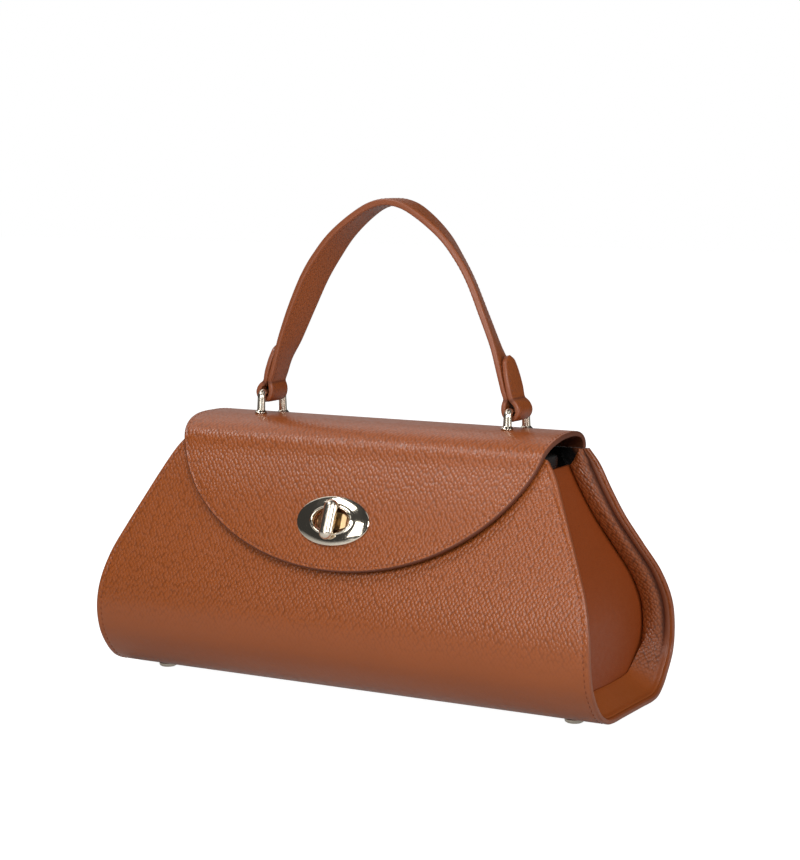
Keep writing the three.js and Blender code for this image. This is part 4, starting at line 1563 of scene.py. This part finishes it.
class HANDBAG_OT_staples(bpy.types.Operator):
    """Make the wire staples and their collars."""

    bl_idname = "handbag.staples"
    bl_label = "Staples"

    def execute(self, context):
        line = flap_line()
        top = line.z > BODY_TOP
        steps, sides = COLLAR_FACES
        for label, side in SIDES:
            add_piece(f"staple_wire_{label}", wire_surface(side), TUBE, buffed_gold(), "gold_metal",
                      f"handle_staple_{label}")
            for row, end in ENDS:
                y = STRAP_MIDDLE + end * (STAPLE_HALF_SPAN + STAPLE_SPLAY)
                face = np.interp(y, line.y[top], line.z[top]) + FLAP_WALL
                section = even_line(COLLAR_SECTION, steps) + (0, face)
                collar = turned_surface(section, sides, (side * STAPLE_X, y))
                add_piece(f"staple_collar_{row}_{label}", collar, RING, gold_plate(), "gold_metal")
        return {"FINISHED"}


class HANDBAG_OT_feet(bpy.types.Operator):
    """Make the studs that the bag stands on."""

    bl_idname = "handbag.feet"
    bl_label = "Studs"

    def execute(self, context):
        for row, end in ENDS:
            for label, side in SIDES:
                stud = turned_surface(FOOT_SECTION, FOOT_SIDES, (side * FOOT_X, end * FOOT_Y))
                add_piece(f"stud_{row}_{label}", stud, TURNED, gold_plate(), "gold_metal",
                          f"foot_{row}_{label}")
        return {"FINISHED"}


class HANDBAG_OT_stage(bpy.types.Operator):
    """Make the floor, the soft lights and the camera."""

    bl_idname = "handbag.stage"
    bl_label = "Stage"

    def execute(self, context):
        self.floor()
        self.room(context.scene)
        for name, (place, size) in LIGHTS.items():
            self.soft_light(name, place, size, getattr(context.scene.handbag_studio, name))
        self.camera(context.scene)
        return {"FINISHED"}

    def floor(self):
        """A wide pale floor at height zero, clear when it is seen from below.

        It glows evenly for the camera. For the fittings' reflections it also glows as painted light,
        brighter under the bag, and in a wedge towards the camera whose brightness grows with the distance
        inside the wedge's sides.
        """
        reach = np.linspace(-FLOOR_REACH, FLOOR_REACH, 3)
        x, y = np.meshgrid(reach, reach, indexing="ij")
        points = np.stack([x, y, np.zeros_like(x)], axis=-1)
        floor = surface_piece("floor", points, plain_uv(points))
        material, tree, shader = new_material("Pale floor", FLOOR_SHOWN)
        turn = math.radians(VIEW_TURN)
        place = add_node(tree, "TexCoord").outputs["Object"]
        ring = vector_math(tree, "LENGTH", vector_math(tree, "DIVIDE", place, RING_HALF))
        under = remap(tree, ring, RING_UNDER, (MIRRORED_UNDER, MIRRORED_NEAR))
        towards = vector_math(tree, "DOT_PRODUCT", place, (math.sin(turn), -math.cos(turn), 0.0))
        aside = vector_math(tree, "DOT_PRODUCT", place, (math.cos(turn), math.sin(turn), 0.0))
        wedge = compute(tree, "SUBTRACT", towards, compute(tree, "ABSOLUTE", aside))
        far = remap(tree, wedge, VIEW_WEDGE, (0.0, MIRRORED_FAR))
        path = add_node(tree, "LightPath").outputs
        # The glow that only reflections see is painted light
        mirrored = compute(tree, "MULTIPLY", path["Is Glossy Ray"], compute(tree, "ADD", under, far))
        glow = compute(tree, "MULTIPLY_ADD", path["Is Camera Ray"], FLOOR_GLOW, mirrored)
        below = add_node(tree, "NewGeometry").outputs["Backfacing"]
        fill_sockets(tree, shader, {
            "Base Color": opaque(FLOOR_COLOUR), "Roughness": FLOOR_ROUGHNESS, "Emission Color": (1, 1, 1, 1),
            "Emission Strength": glow, "Alpha": compute(tree, "SUBTRACT", 1.0, below)})
        floor.data.materials.append(material)

    def room(self, scene):
        """A white backdrop for the camera, and a dimmer room for the light on the bag."""
        world = bpy.data.worlds.new("Studio")
        world.use_nodes = True
        tree = world.node_tree
        seen = add_node(tree, "LightPath").outputs["Is Camera Ray"]
        level = remap(tree, seen, (0.0, 1.0), (scene.handbag_studio.surround, 1.0))
        fill_sockets(tree, tree.nodes["Background"], {"Color": (1, 1, 1, 1), "Strength": level})
        scene.world = world
        scene.view_settings.view_transform = "Standard"
        scene.cycles.caustics_reflective = False

    def soft_light(self, name, place, size, power):
        """A rectangular soft light aimed at the middle of the bag."""
        data = bpy.data.lights.new(name, "AREA")
        data.shape = "RECTANGLE"
        data.size, data.size_y = size
        data.energy = power
        forward = unit(np.array(LIGHT_AIM) - np.array(place))
        right = unit(np.cross(forward, NEARLY_UP))
        lamp = self.placed(name, data, place, right, np.cross(right, forward), forward)
        lamp.visible_camera = False

    def camera(self, scene):
        """A camera at the photograph's angle and distance."""
        turn, drop = math.radians(VIEW_TURN), math.radians(VIEW_DROP)
        level = math.cos(drop)
        right = np.array([math.cos(turn), math.sin(turn), 0.0])
        forward = np.array([-math.sin(turn) * level, math.cos(turn) * level, -math.sin(drop)])
        up = np.cross(right, forward)
        place = (VIEW_ASIDE * right + VIEW_RISE * up - VIEW_DISTANCE * forward) * MM
        data = bpy.data.cameras.new("camera")
        data.sensor_width = SENSOR
        data.lens = VIEW_FOCUS * SENSOR / IMAGE_LONG_SIDE
        scene.camera = self.placed("camera", data, place, right, up, forward)

    def placed(self, name, data, place, right, up, forward):
        """An object at a place in the scene that looks forward, with the given right and up."""
        made = bpy.data.objects.new(name, data)
        axes = np.column_stack([right, up, -forward])
        made.matrix_world = Matrix.Translation(place) @ Matrix(axes.tolist()).to_4x4()
        bpy.context.scene.collection.objects.link(made)
        return made


OPERATORS = (
    HANDBAG_OT_body, HANDBAG_OT_facings, HANDBAG_OT_gussets, HANDBAG_OT_lining, HANDBAG_OT_flap,
    HANDBAG_OT_strap, HANDBAG_OT_stitches, HANDBAG_OT_lock, HANDBAG_OT_staples, HANDBAG_OT_feet,
    HANDBAG_OT_stage,
)
SETTINGS = {
    "handbag_leather": HandbagLeather,
    "handbag_colours": HandbagColours,
    "handbag_studio": HandbagStudio,
}


class HANDBAG_PT_panel(bpy.types.Panel):
    """The handbag's pieces and settings in the 3D view's sidebar."""

    bl_idname = "HANDBAG_PT_panel"
    bl_label = "Handbag"
    bl_space_type = "VIEW_3D"
    bl_region_type = "UI"
    bl_category = "Handbag"

    def draw(self, context):
        for label, group in SETTINGS.items():
            box = self.layout.box()
            for name in group.__annotations__:
                box.prop(getattr(context.scene, label), name)
        for operator in OPERATORS:
            self.layout.operator(operator.bl_idname)


CLASSES = (*SETTINGS.values(), *OPERATORS, HANDBAG_PT_panel)


def register():
    """Registers the classes and hangs the settings on the scene."""
    for made in CLASSES:
        bpy.utils.register_class(made)
    for name, settings in SETTINGS.items():
        setattr(bpy.types.Scene, name, PointerProperty(type=settings))


def unregister():
    """Takes the settings and the classes away again."""
    for name in SETTINGS:
        delattr(bpy.types.Scene, name)
    for made in reversed(CLASSES):
        bpy.utils.unregister_class(made)


def main():
    """Makes every piece in order."""
    register()
    bpy.ops.handbag.body()
    bpy.ops.handbag.facings()
    bpy.ops.handbag.gussets()
    bpy.ops.handbag.lining()
    bpy.ops.handbag.flap()
    bpy.ops.handbag.strap()
    bpy.ops.handbag.stitches()
    bpy.ops.handbag.lock()
    bpy.ops.handbag.staples()
    bpy.ops.handbag.feet()
    bpy.ops.handbag.stage()


if __name__ == "__main__":
    main()
